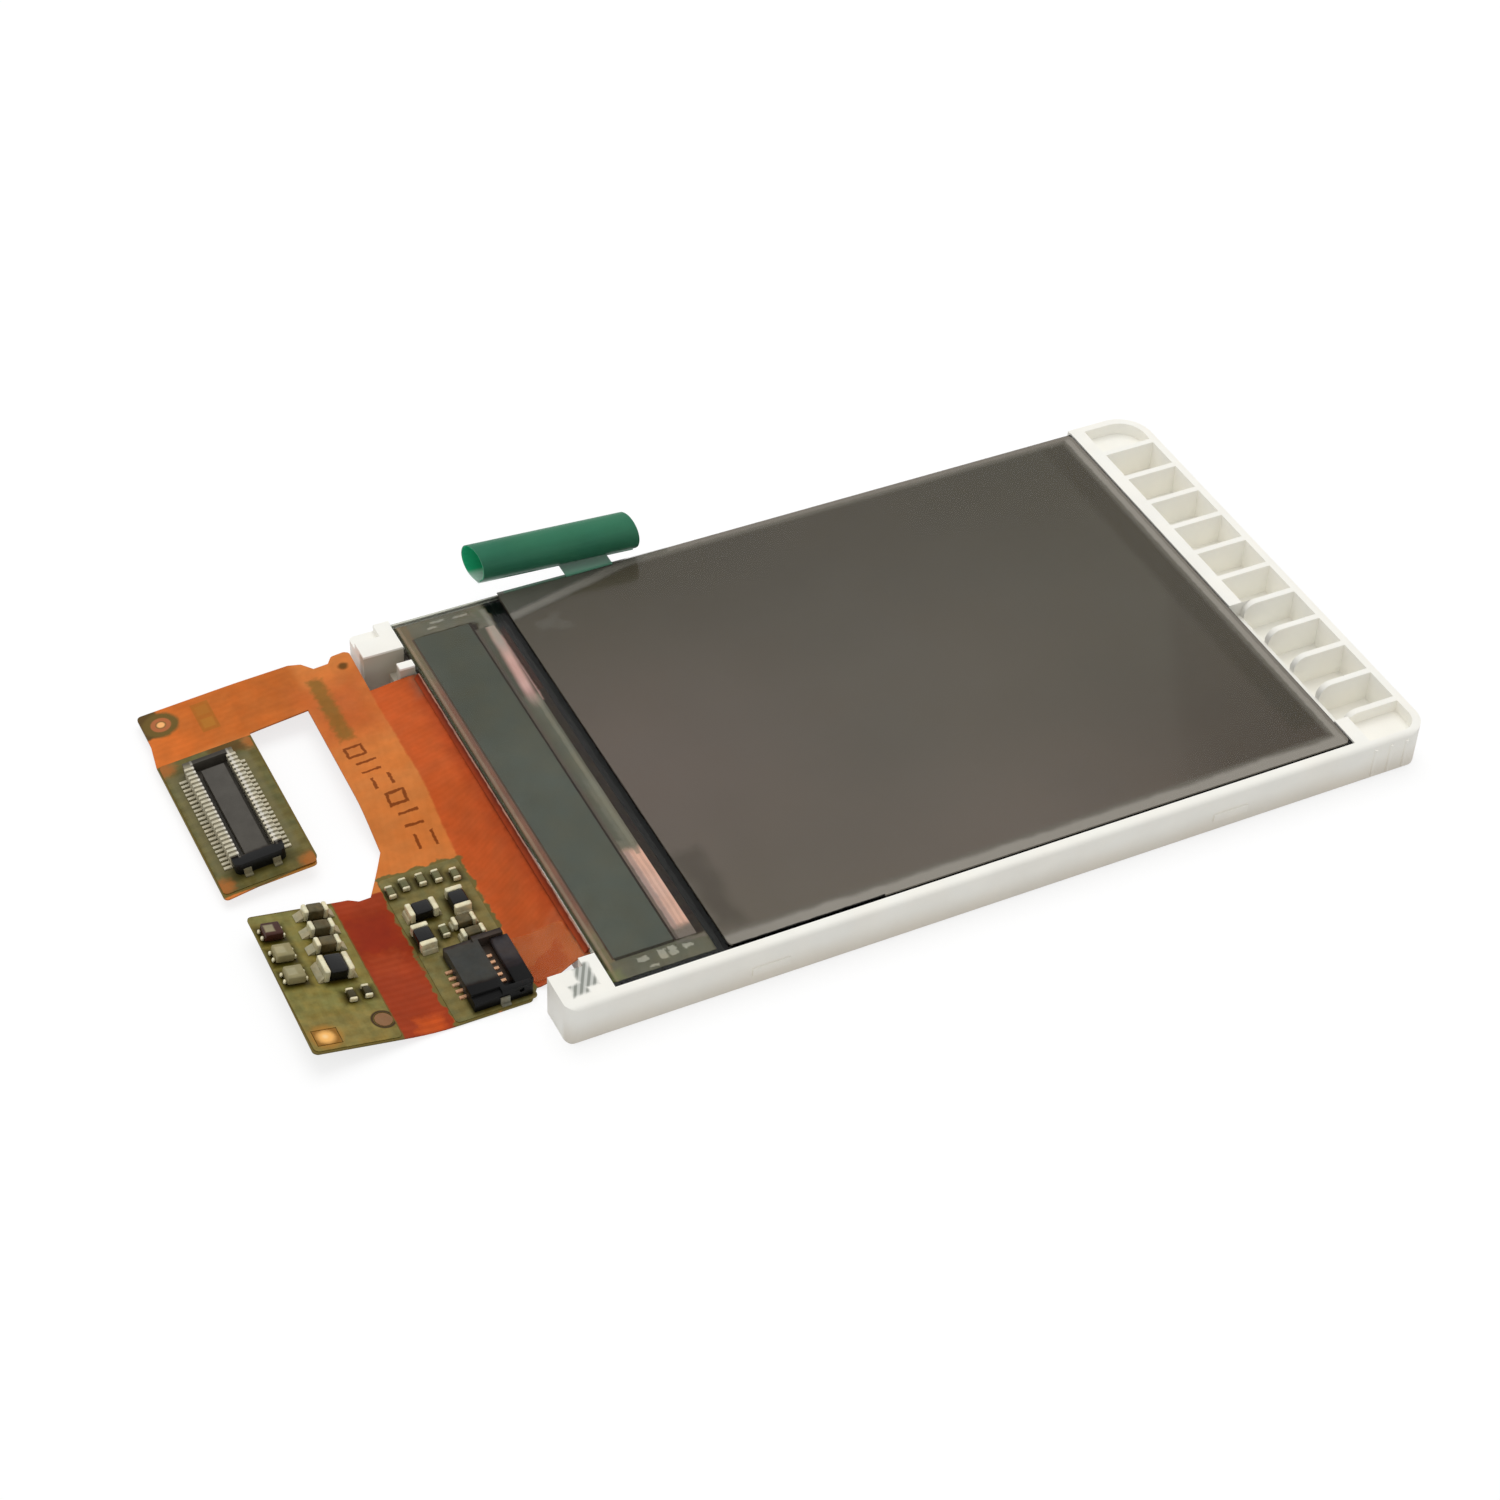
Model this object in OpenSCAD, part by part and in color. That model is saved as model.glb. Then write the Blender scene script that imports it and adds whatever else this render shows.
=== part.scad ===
// Small colour TFT display module: a glass panel on a backlight, held in a moulded frame with a pocketed end,
// and a flexible circuit with its connectors and chip parts.
// Datum: the near corner of the glass at its flex end, on the plane of the rear face.
// The origin is the centre of the frame's rear face. +X runs from the flex end to the pocket end.

/* [Panel] */
// Length of the upper glass, from its flex end to its pocket end
panel_len = 52.1; // [50:0.1:63]
// Width of the upper glass
panel_w = 36; // [35.5:0.1:44]
// Thickness of each of the two glass plates
glass_t = 0.5; // [0.3:0.01:0.6]
// Width of the ledge of the upper glass that stands past the lower glass
ledge_w = 7; // [6.8:0.1:9]
// Thickness of each polariser
polariser_t = 0.12; // [0.08:0.01:0.2]
// Margin between the glass edge and the front polariser
polariser_margin = 0.15; // [0.1:0.05:2]
// Thickness of the protective film
film_t = 0.05; // [0.03:0.01:0.08]
// Angle by which the peeled corner of the film is lifted
film_lift = 3; // [1:0.5:8]
// Width of the driver chip
chip_w = 1.35; // [0.9:0.01:1.6]
// Thickness of the driver chip
chip_t = 0.4; // [0.3:0.01:0.5]
// Distance from the glass edge to the driver chip
chip_inset = 5.05; // [4.2:0.01:5.3]
// Width of the dark cover tape under the ledge
cover_w = 3.9; // [2:0.1:4]

/* [Frame] */
// Height of the frame
frame_h = 3; // [2.95:0.01:3.6]
// Thickness of the near side wall
near_wall = 0.85; // [0.6:0.01:1.2]
// Thickness of the far side wall
far_wall = 0.35; // [0.3:0.01:0.6]
// Thickness of the floor
floor_t = 0.5; // [0.3:0.01:0.6]
// Width of the shelf that the panel's edge lies on
shelf_w = 0.7; // [0.5:0.05:1]
// Length of the two end blocks that stand past the glass
block_len = 3.4; // [2.8:0.05:5]
// Width of each end block inside the glass edge
block_w = 2.3; // [1.5:0.1:3]
// Clearance between the glass and the frame
panel_gap = 0.05; // [0.02:0.01:0.15]

/* [Pockets] */
// Number of pockets in the end
pockets = 12; // [6:1:14]
// Length of the pocketed end, from the glass to the outer face
pocket_end = 5.5; // [4.6:0.1:8]
// Thickness of the strip between the glass and the pockets
pocket_strip = 1.05; // [0.6:0.05:1.4]
// Thickness of the outer wall of the pockets
pocket_wall = 0.55; // [0.4:0.01:0.8]
// Thickness of the ribs between the pockets
rib_t = 0.45; // [0.3:0.01:0.7]
// Height of the pocket floors above the rear face
pocket_floor = 0.7; // [0.4:0.05:1.2]
// Number of pockets, from the near side, whose strip is lowered
low_pockets = 5; // [1:1:6]
// Height of the lowered strip above the rear face
low_strip_h = 1.9; // [1:0.05:2.4]

/* [Backlight] */
// Thickness of the light guide
guide_t = 0.7; // [0.6:0.01:0.75]
// Thickness of the reflector sheet
reflector_t = 0.1; // [0.06:0.01:0.12]
// Thickness of the diffuser and of each prism sheet
sheet_t = 0.11; // [0.06:0.01:0.12]
// Thickness of the rim tape
rim_t = 0.08; // [0.05:0.01:0.1]
// Number of light-emitting diodes
leds_n = 4; // [3:1:6]
// Width of each light-emitting diode along the panel's edge
led_w = 3.2; // [2:0.1:3.8]
// Depth of each light-emitting diode
led_d = 1; // [0.8:0.05:1.2]
// Height of each light-emitting diode
led_h = 0.6; // [0.4:0.01:0.65]

/* [Flex circuit] */
// Thickness of the flex circuit
flex_t = 0.12; // [0.08:0.01:0.16]
// Length of the single-layer strip between the glass and the first parts area
root_len = 3.3; // [3:0.1:4]
// Width of the parts area next to the panel
right_area_w = 5.5; // [5.3:0.1:7]
// Length of the bare strip between the two parts areas
bare_len = 3.2; // [2.7:0.1:5]
// Width of the parts area at the free end
left_area_w = 5.6; // [5.5:0.1:7]
// Distance of the flex's near edge inside the glass edge
flex_inset = 3.4; // [2.9:0.1:3.6]
// Depth of the near arm, from its near edge to its far edge
arm_d = 12.1; // [11.9:0.1:12.4]
// Depth of the parts area next to the panel
right_area_d = 13.2; // [13.1:0.05:13.8]
// Width of the connector area
conn_area_w = 6.3; // [5.8:0.1:6.6]
// Depth of the connector area
conn_area_d = 12.8; // [12.2:0.1:13]
// Width of the long limb beside the root strip
limb_w = 4.3; // [4:0.1:5]
// Depth of the bar that joins the connector area to the limb
bar_d = 4.9; // [3.5:0.1:5]
// Thickness of the coverlay over the parts areas
coverlay_t = 0.04; // [0.02:0.01:0.06]
// Thickness of the stiffener under the connector area
stiffener_t = 0.2; // [0.1:0.01:0.25]

/* [Board connector] */
// Contacts on each side of the board connector
contacts_n = 22; // [10:1:22]
// Pitch of its contacts
contact_pitch = 0.4; // [0.35:0.01:0.4]
// Width of its housing
conn_w = 3.3; // [3:0.05:3.9]
// Height of its housing
conn_h = 0.95; // [0.8:0.01:1.2]
// Thickness of its side walls
conn_wall = 0.45; // [0.38:0.01:0.55]
// Width of the groove beside its tongue
groove_w = 0.45; // [0.38:0.01:0.55]
// Width of each contact
contact_w = 0.2; // [0.12:0.01:0.22]

/* [Flex socket] */
// Contacts in the flip-lock socket
socket_n = 5; // [3:1:6]
// Pitch of its contacts
socket_pitch = 0.55; // [0.4:0.01:0.56]
// Length of the socket, from its tails' side to its mouth
socket_len = 3.9; // [3.6:0.05:4.2]
// Width of the socket across its contacts
socket_w = 5; // [4.8:0.05:5.4]
// Height of the socket
socket_h = 1; // [0.9:0.01:1.2]
// Length of the latch bar
latch_len = 0.95; // [0.8:0.01:1.1]
// Radius of the latch's pivot pins
pivot_r = 0.13; // [0.1:0.01:0.15]
// Radial running clearance of the pivot pins
pivot_gap = 0.03; // [0.02:0.01:0.05]
// Clearance between the latch and the socket
latch_gap = 0.06; // [0.05:0.01:0.1]

/* [Pull tab] */
// Length of the rolled grip of the pull tab
tab_len = 11; // [8:0.1:16]
// Outer radius of the roll
tab_r = 1.3; // [1:0.01:2]
// Thickness of the tape
tab_t = 0.08; // [0.05:0.01:0.12]
// Angle that the tape wraps round
tab_wrap = 325; // [200:5:335]
// Width of the neck between the film and the grip
neck_w = 3.4; // [2:0.1:6]

/* [Hidden] */
$fn = 48;
eps = 0.01;
// Seating gap between layers that lie on each other
seat = 0.01;

// Stack heights above the rear face
reflector_z = floor_t;
guide_z = reflector_z + reflector_t + seat;
diffuser_z = guide_z + guide_t + seat;
lower_prism_z = diffuser_z + sheet_t + seat;
upper_prism_z = lower_prism_z + sheet_t + seat;
rim_z = upper_prism_z + sheet_t + seat;
rear_polariser_z = rim_z + rim_t + seat;
filter_z = rear_polariser_z + polariser_t + seat;
tft_z = filter_z + glass_t + seat;
polariser_z = tft_z + glass_t + seat;
film_z = polariser_z + polariser_t + seat;
tape_z = film_z + film_t + seat;

// Frame
frame_x0 = -block_len;
frame_x1 = panel_len + pocket_end;
frame_y0 = -near_wall;
frame_y1 = panel_w + far_wall;
datum = [-(frame_x0 + frame_x1) / 2, -(frame_y0 + frame_y1) / 2, 0];
sill_x = 0.5;
sill_in = 0.3;
far_block_len = root_len - 0.45;
far_block_w = block_w + 0.2;
near_corner_r = 0.85;
pocket_corner_r = 1.8;
far_corner_r = 2.4;
edge_r = 0.35;
shelf_z = rim_z - seat;
// Small post between the far end block and the flex, and the notch beside it
post_x = 1.1;
post_y0 = panel_w - far_block_w - 2.05;
post_y1 = post_y0 + 0.65;
notch_z = 1;

// Pockets
pocket_x0 = panel_len + pocket_strip;
pocket_x1 = frame_x1 - pocket_wall;
pocket_y0 = frame_y0 + pocket_wall;
pocket_pitch = (frame_y1 - pocket_wall - pocket_y0 + rib_t) / pockets;
shallow_floor = frame_h - 0.9;
ramp_r = 0.9;

// Light stack
stack_x0 = sill_in + 0.15 + led_d + 0.1;
stack_x1 = panel_len - shelf_w - 0.1;
stack_y0 = shelf_w + 0.1;
stack_y1 = panel_w - shelf_w - 0.1;
window_x0 = ledge_w + 0.6;
film_x0 = ledge_w + 0.55;
film_x1 = panel_len - polariser_margin;
film_y1 = panel_w - polariser_margin;
film_r = 0.4;

// Film crease at the peeled corner
crease_y = film_y1 - 3.05;
crease_run = 12;
crease_angle = atan((film_y1 - crease_y) / crease_run);

// Flex circuit, with u the distance from the glass edge away from the panel
bond_len = 0.9;
right_u0 = root_len;
right_u1 = right_u0 + right_area_w;
left_u0 = right_u1 + bare_len;
left_u1 = left_u0 + left_area_w;
conn_u1 = left_u1 + 0.2;
conn_u0 = conn_u1 - conn_area_w;
limb_u0 = root_len - 0.2;
limb_u1 = limb_u0 + limb_w;
flex_y0 = flex_inset;
arm_y1 = flex_y0 + arm_d;
right_y1 = flex_y0 + right_area_d;
flex_y1 = panel_w + 0.4;
conn_y1 = flex_y1 - bar_d - 0.1;
conn_y0 = conn_y1 - conn_area_d;
root_y1 = panel_w - far_block_w - 2.3;
sag_y0 = right_y1;
sag_y1 = right_y1 + 6.4;
flex_z = tft_z - seat - flex_t;
corner_r = 0.3;
// Heights of the flex along the near arm and along the far bar, as [u, height, slope]
near_knots = [[0, flex_z, 0], [right_u0, 0.05, 0], [right_u1, 0.05, 0],
              [left_u0, 0.42, 0.2], [left_u1, 0.42 + 0.2 * left_area_w, 0.2]];
far_knots = [[0, flex_z, 0], [right_u0, 1.75, -0.12], [right_u1, 1.3, -0.06],
             [conn_u0, 1.12, -0.09], [conn_u1, 1.12 - 0.09 * conn_area_w, -0.09]];
// Grid lines of the flex: the left area and the connector area can start in either order
areas_u0 = min(left_u0, conn_u0);
areas_u1 = max(left_u0, conn_u0);
grid_u = concat([-bond_len, 0], steps(0, right_u0, 10), steps(right_u0, right_u1, 6),
                steps(right_u1, areas_u0, 4), areas_u1 > areas_u0 + eps ? [areas_u1] : [], [conn_u1 + 0.3]);
grid_y = concat([flex_y0 - 1, sag_y0], steps(sag_y0, sag_y1, 8), [flex_y1 + 1]);

// Areas of the flex that carry parts, as [left edge, near edge, width, depth, height, slope]
left_area = [-left_u1, flex_y0, left_area_w, arm_d, 0.42 + 0.2 * left_area_w, 0.2];
right_area = [-right_u1, flex_y0, right_area_w, right_area_d, 0.05, 0];
conn_area = [-conn_u1, conn_y0, conn_area_w, conn_area_d, 1.12 - 0.09 * conn_area_w, -0.09];
area_margin = 0.12;
pads_z = flex_t + coverlay_t + 2 * seat;

// Board connector
tongue_w = conn_w - 2 * (conn_wall + groove_w);
contact_run = (contacts_n - 1) * contact_pitch;
// Its near end is solid, and at the far end a gap crosses the tongue
housing_y0 = -contact_run / 2 - 0.95;
housing_y1 = contact_run / 2 + 0.7;
groove_y0 = -contact_run / 2 - 0.2;
groove_y1 = housing_y1 - 0.35;
tongue_y1 = contact_run / 2 - 0.4;
tongue_h = conn_h - 0.08;
conn_corner_r = 0.4;
conn_at = [conn_area_w / 2 - 0.15, conn_area_d / 2 - 0.05];
groove_floor = 0.2;
strip_t = 0.1;
tail_len = 0.55;
wrap_t = 0.06;

// Flex socket
socket_at = [right_area_w - socket_len / 2 - 0.2, socket_w / 2 + 0.45];
pivot_x = socket_len / 2 - latch_len + 0.1;
pivot_z = 0.62;
cheek_w = 0.4;
latch_t = 0.42;
plate_len = 2.1;

// Parts on the flex, as [along X, along Y] from the near-left corner of their area, then the turn
left_caps = [[4.1, 11.25, 0], [3.95, 9.75, 0], [3.8, 8.3, 0]];
right_caps = [[3.6, 7.5, 0], [3.75, 6.35, 0]];
left_inductors = [[3.55, 6.25, 0]];
right_inductors = [[1.6, 9.3, 0], [3.95, 9.2, 90], [0.85, 7.1, 90]];
left_arrays = [[1.05, 10.2, 0], [1.05, 8.25, 0], [1.05, 6.3, 0]];
left_resistors = [[3.75, 4.0, 90], [4.75, 4.1, 90]];
right_resistors = [[0.5, 11.7, 90], [1.5, 12.0, 90], [2.6, 12.0, 90], [3.6, 11.9, 90], [4.7, 11.6, 90],
                   [2.25, 7.3, 90]];
cap_size = [1.6, 0.8, 0.8];
small_cap_size = [1.5, 0.75, 0.6];
inductor_size = [1.9, 1.6, 0.9];
small_inductor_size = [1.9, 1.1, 0.8];
resistor_size = [1.0, 0.5, 0.35];
array_size = [1.15, 1.1, 0.6];
end_share = 0.2;
gold_at = [1.2, 1.15];
gold_size = [1.6, 1.3];
test_at = [left_area_w - 0.68, 1.75];
test_r = 0.6;

// Pull tab
tab_turn = -4.7;
tab_x = 12.2;
tab_y = panel_w + 1.46;
lip_w = 0.6;
// Shift of the grip's two ends along X for each millimetre across it
tab_skew = 0.3;
neck_x0 = tab_x + 0.3;
neck_y0 = film_y1 - 0.3;
// The neck lies on the lifted corner of the film
tab_z = tape_z + film_rise(neck_x0, film_y1);

function film_rise(x, y) =
    max(0, (y - crease_y) * cos(crease_angle) - (x - film_x0) * sin(crease_angle)) * sin(film_lift);
function steps(a, b, n) = [for (i = [1:n]) a + (b - a) * i / n];
function smooth(a, b, v) = let (t = min(max((v - a) / (b - a), 0), 1)) t * t * (3 - 2 * t);
function hermite(a, b, u) =
    let (run = b[0] - a[0], t = (u - a[0]) / run)
    (2 * t ^ 3 - 3 * t ^ 2 + 1) * a[1] + (t ^ 3 - 2 * t ^ 2 + t) * run * a[2]
    + (3 * t ^ 2 - 2 * t ^ 3) * b[1] + (t ^ 3 - t ^ 2) * run * b[2];
function profile(k, u, i = 0) =
    u <= k[0][0] ? k[0][1] :
    (i >= len(k) - 2 || u <= k[i + 1][0] + eps / 10) ? hermite(k[i], k[i + 1], u) : profile(k, u, i + 1);
// Share of the far profile at a point: the free limbs past the parts area are apart, so they change at once
function far_share(u, y) = smooth(sag_y0, u > right_u1 + 1 ? sag_y0 + 0.5 : sag_y1, y);
function flex_height(u, y) =
    let (w = far_share(u, y)) (1 - w) * profile(near_knots, u) + w * profile(far_knots, u);

module at_datum() {
    translate(datum) children();
}

module corner(r, turn) {
    rotate(turn) translate([-r, -r]) difference() {
        square(r + 1);
        circle(r);
    }
}

module slab(x0, y0, x1, y1, z, t) {
    translate([x0, y0, z]) cube([x1 - x0, y1 - y0, t]);
}

// A plate with four rounded corners
module round_plate(x0, y0, x1, y1, z, t, r) {
    translate([0, 0, z]) linear_extrude(t) difference() {
        translate([x0, y0]) square([x1 - x0, y1 - y0]);
        translate([x1, y1]) corner(r, 0);
        translate([x0, y1]) corner(r, 90);
        translate([x0, y0]) corner(r, 180);
        translate([x1, y0]) corner(r, 270);
    }
}

// A bar along X that cuts a long edge to a quarter round; turn 0 is the upper far edge
module long_edge_cut(x0, x1, y, z, r, turn) {
    translate([x0, y, z]) rotate([90, 0, 90]) linear_extrude(x1 - x0) corner(r, turn);
}

// ---- Frame ----
module frame_outline() {
    difference() {
        union() {
            translate([-sill_x, frame_y0]) square([frame_x1 + sill_x, frame_y1 - frame_y0]);
            translate([frame_x0, frame_y0]) square([block_len, block_w + near_wall]);
            translate([-post_x, block_w - eps]) square([post_x, 0.7 + eps]);
            translate([-far_block_len, panel_w - far_block_w]) square([far_block_len, far_block_w + far_wall]);
            translate([-post_x, post_y0]) square([post_x, panel_w - post_y0]);
        }
        translate([frame_x0, frame_y0]) corner(near_corner_r, 180);
        translate([frame_x1, frame_y0]) corner(pocket_corner_r, 270);
        translate([frame_x1, frame_y1]) corner(far_corner_r, 0);
        translate([-far_block_len, frame_y1]) corner(edge_r, 90);
    }
}

module pocket_cuts() {
    difference() {
        for (i = [0:pockets - 1]) {
            y = pocket_y0 + i * pocket_pitch;
            bottom = (i == 0 || i == pockets - 1) ? shallow_floor : pocket_floor;
            slab(pocket_x0, y, pocket_x1, y + pocket_pitch - rib_t, bottom, frame_h);
        }
        linear_extrude(frame_h) {
            translate([pocket_x1, pocket_y0]) corner(pocket_corner_r - pocket_wall, 270);
            translate([pocket_x1, frame_y1 - pocket_wall]) corner(far_corner_r - pocket_wall, 0);
        }
    }
}

// The flex leaves between the end blocks, and the notch beside the post is deeper
module flex_opening_cut() {
    slab(-post_x - 1, block_w + 0.7, panel_gap, post_y0, shelf_z, frame_h);
    slab(-post_x - 1, post_y1, panel_gap, panel_w - far_block_w, notch_z, frame_h);
}

// The strip beside the glass is lowered along the near pockets, and each rib rises from it by a quarter round
module low_strip_cut() {
    y1 = pocket_y0 + low_pockets * pocket_pitch;
    slab(panel_len - eps, pocket_y0 + pocket_pitch, pocket_x0 + eps, y1, low_strip_h, frame_h);
    translate([pocket_x0, pocket_y0 + pocket_pitch - rib_t, frame_h])
        rotate([90, 0, 180]) translate([-ramp_r, -ramp_r, 0])
            linear_extrude(y1 - pocket_y0 - pocket_pitch + rib_t) translate([ramp_r, ramp_r]) corner(ramp_r, 0);
}

module frame() {
    color("ivory") at_datum() difference() {
        union() {
            linear_extrude(frame_h) frame_outline();
            for (x = [panel_len * 0.165, panel_len * 0.79])
                slab(x, frame_y0 - 0.1, x + 2.5, frame_y0 + eps, 1, 0.6);
            for (i = [0:2])
                translate([pocket_x0 + 0.2 + i * 1.2, frame_y0, 0.4]) cylinder(r = 0.12, h = frame_h - 0.8);
        }
        // Recess for the panel
        slab(-panel_gap, -panel_gap, panel_len + panel_gap, panel_w + panel_gap, shelf_z, frame_h);
        flex_opening_cut();
        // Recess for the light stack
        slab(sill_in, shelf_w, panel_len - shelf_w, panel_w - shelf_w, floor_t, frame_h);
        pocket_cuts();
        low_strip_cut();
        // The far wall stops below the face of the glass
        slab(-eps, panel_w - eps, panel_len, frame_y1 + 1, tft_z, frame_h);
        // Step in the far end block
        slab(-far_block_len - 1, panel_w - 0.9, -1.1, frame_y1 + 1, frame_h - 0.5, frame_h);
        long_edge_cut(frame_x0 - 1, frame_x1 + 1, frame_y0, frame_h, edge_r, 90);
        long_edge_cut(frame_x0 - 1, frame_x1 + 1, frame_y0, 0, edge_r, 180);
    }
}

// ---- Light stack ----
module stack_sheet(x0, z, t) {
    slab(x0, stack_y0, stack_x1, stack_y1, z, t);
}

module reflector_sheet() {
    color("silver") at_datum() stack_sheet(stack_x0, reflector_z, reflector_t);
}

module light_guide() {
    color("lightcyan") at_datum() stack_sheet(stack_x0, guide_z, guide_t);
}

module diffuser_sheet() {
    color("white") at_datum() stack_sheet(stack_x0, diffuser_z, sheet_t);
}

module lower_prism_sheet() {
    color("gainsboro") at_datum() stack_sheet(stack_x0 + 0.3, lower_prism_z, sheet_t);
}

module upper_prism_sheet() {
    color("gainsboro") at_datum() stack_sheet(stack_x0 + 0.3, upper_prism_z, sheet_t);
}

module led_flex() {
    color("darkorange") at_datum()
        slab(sill_in + 0.05, stack_y0 + 0.4, stack_x0 - 0.05, stack_y1 - 0.4, reflector_z, reflector_t);
}

module leds() {
    spacing = (stack_y1 - stack_y0) / leds_n;
    color("lemonchiffon") at_datum() for (i = [0:leds_n - 1])
        translate([sill_in + 0.1, stack_y0 + (i + 0.5) * spacing - led_w / 2, guide_z]) cube([led_d, led_w, led_h]);
}

module rim_tape() {
    color("black") at_datum() difference() {
        slab(0.4, 0.1, panel_len - 0.1, panel_w - 0.1, rim_z, rim_t);
        slab(window_x0, 1.3, panel_len - 1.3, panel_w - 1.3, rim_z - 1, rim_t + 2);
    }
}

// ---- Glass panel ----
module rear_polariser() {
    color("dimgray") at_datum()
        slab(ledge_w + 0.4, 0.5, panel_len - 0.5, panel_w - 0.5, rear_polariser_z, polariser_t);
}

module filter_glass() {
    color("darkslategray") at_datum() slab(ledge_w, 0.05, panel_len - 0.05, panel_w - 0.05, filter_z, glass_t);
}

module tft_glass() {
    color("slategray") at_datum() slab(0, 0, panel_len, panel_w, tft_z, glass_t);
}

module front_polariser() {
    color("dimgray") at_datum() round_plate(film_x0, polariser_margin, film_x1, film_y1, polariser_z, polariser_t, film_r);
}

// The film lies flat but for the corner beyond the crease, which is lifted about the crease
module protective_film() {
    color("lightgray") at_datum() {
        difference() {
            round_plate(film_x0, polariser_margin, film_x1, film_y1, film_z, film_t, film_r);
            translate([film_x0, crease_y, 0]) rotate(crease_angle)
                translate([-5, 0, film_z - 1]) cube([crease_run * 2, 10, 2]);
        }
        translate([film_x0, crease_y, film_z]) rotate(crease_angle) rotate([film_lift, 0, 0])
            rotate(-crease_angle) linear_extrude(film_t)
                polygon([[0, 0], [crease_run, film_y1 - crease_y], [0, film_y1 - crease_y]]);
    }
}

// The tape lies from the film past the glass, and its wide grip is rolled up over itself with slanting ends
module pull_tab() {
    reach = 2 * tab_r;
    color("seagreen") at_datum() translate([0, 0, tab_z]) {
        translate([tab_x, tab_y, 0]) rotate(tab_turn) intersection() {
            union() {
                translate([-tab_len, 0, tab_r]) rotate([90, 0, 90]) rotate(-90)
                    rotate_extrude(angle = tab_wrap) translate([tab_r - tab_t, 0]) square([tab_t, 2 * tab_len]);
                translate([-tab_len, -lip_w, 0]) cube([2 * tab_len, lip_w + eps, tab_t]);
            }
            translate([0, 0, -1]) linear_extrude(2 * tab_r + 2) polygon([
                for (end = [[-1, -1], [1, -1], [1, 1], [-1, 1]])
                    [end[0] * tab_len / 2 - tab_skew * end[1] * reach, end[1] * reach]
            ]);
        }
        translate([neck_x0, neck_y0, 0]) cube([neck_w, tab_y - lip_w / 2 - neck_y0, tab_t]);
    }
}

module driver_chip() {
    color("rosybrown") at_datum()
        slab(chip_inset, 2.4, chip_inset + chip_w, panel_w - 2.4, tft_z - seat - chip_t, chip_t);
}

module ledge_cover() {
    color("darkslategray") at_datum()
        slab(bond_len + 0.1, 2.2, bond_len + 0.1 + cover_w, panel_w - 1.6, tft_z - seat - 0.05, 0.05);
}

// A bead of resin in the corner between the glass edge and the flex
module bond_resin() {
    color("saddlebrown") at_datum() translate([-seat, root_y1 - 0.3, flex_z + flex_t + seat]) rotate([90, 0, 0])
        linear_extrude(root_y1 - flex_y0 - 0.6) polygon([[0, 0], [0, 0.35], [-0.12, 0.3], [-0.35, 0.02], [-0.35, 0]]);
}

// ---- Flex circuit ----
module flex_sheet() {
    nu = len(grid_u);
    ny = len(grid_y);
    n = nu * ny;
    lower = [for (u = grid_u) for (y = grid_y) [-u, y, flex_height(u, y)]];
    upper = [for (p = lower) p + [0, 0, flex_t]];
    tops = [for (i = [0:nu - 2]) for (j = [0:ny - 2]) let (a = i * ny + j, b = a + ny)
            each [[a, b, b + 1], [a, b + 1, a + 1]]];
    bottoms = [for (f = tops) [f[0] + n, f[2] + n, f[1] + n]];
    ends_y = [for (i = [0:nu - 2]) let (a = i * ny, b = a + ny, c = a + ny - 1, d = c + ny)
              each [[b, a, a + n, b + n], [c, d, d + n, c + n]]];
    ends_x = [for (j = [0:ny - 2]) let (a = j, b = (nu - 1) * ny + j)
              each [[a, a + 1, a + 1 + n, a + n], [b + 1, b, b + n, b + 1 + n]]];
    polyhedron(points = concat(upper, lower), faces = concat(tops, bottoms, ends_y, ends_x), convexity = 6);
}

module flex_outline() {
    offset(r = corner_r, $fn = 24) offset(delta = -corner_r) difference() {
        polygon([
            [bond_len, flex_y0], [bond_len, root_y1], [-root_len + 0.1, root_y1 + 0.3],
            // far end of the limb, with its ear and notch
            [-limb_u0, flex_y1 - 0.8], [-limb_u0 - 0.3, flex_y1 - 0.55], [-limb_u0 - 1.2, flex_y1 - 0.55],
            [-limb_u0 - 1.6, flex_y1 - 1.1], [-limb_u0 - 2.6, flex_y1 - 1.1], [-limb_u0 - 3.2, flex_y1 - 0.3],
            [-limb_u0 - 4, flex_y1],
            // far bar and the connector area
            [-conn_u1 + 0.3, flex_y1], [-conn_u1 + 0.3, conn_y1 + 2], [-conn_u1, conn_y1], [-conn_u1, conn_y0 - 0.3],
            [-conn_u0 - 0.2, conn_y0 + 0.3], [-conn_u0, conn_y0 + 0.6],
            // window between the connector area and the limb, then the slanted edge to the bare strip
            [-conn_u0, conn_y1 + 0.1], [-limb_u1, conn_y1 + 0.4], [-limb_u1 - 0.2, right_y1 + 2],
            [-right_u1 - 0.7, arm_y1 - 0.1], [-right_u1 - 1.5, arm_y1 - 0.2], [-right_u1 - 2.1, arm_y1 + 0.1],
            // near arm
            [-left_u1 + 0.2, arm_y1], [-left_u1, flex_y0 + 0.2], [-left_u1 + 0.2, flex_y0], [-right_u0 - 0.6, flex_y0],
            [-right_u0 + 0.1, flex_y0 + 0.9]
        ]);
    }
}

module flex_circuit() {
    color("darkorange") at_datum() intersection() {
        flex_sheet();
        linear_extrude(frame_h + 1) flex_outline();
    }
}

// Places a piece on a flat area of the flex, at a height above the flex's underside
module on_area(area, at, z, turn = 0) {
    tilt = atan(area[5]);
    translate([area[0] + at[0], area[1] + at[1], area[4] - area[5] * at[0]])
        rotate([0, tilt, 0]) translate([0, 0, z]) rotate(turn) children();
}

module area_plate(area, z, t, margin) {
    stretch = 1 / cos(atan(area[5]));
    on_area(area, [0, 0], z) round_plate(
        margin, margin, area[2] * stretch - margin, area[3] - margin, 0, t, corner_r
    );
}

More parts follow.
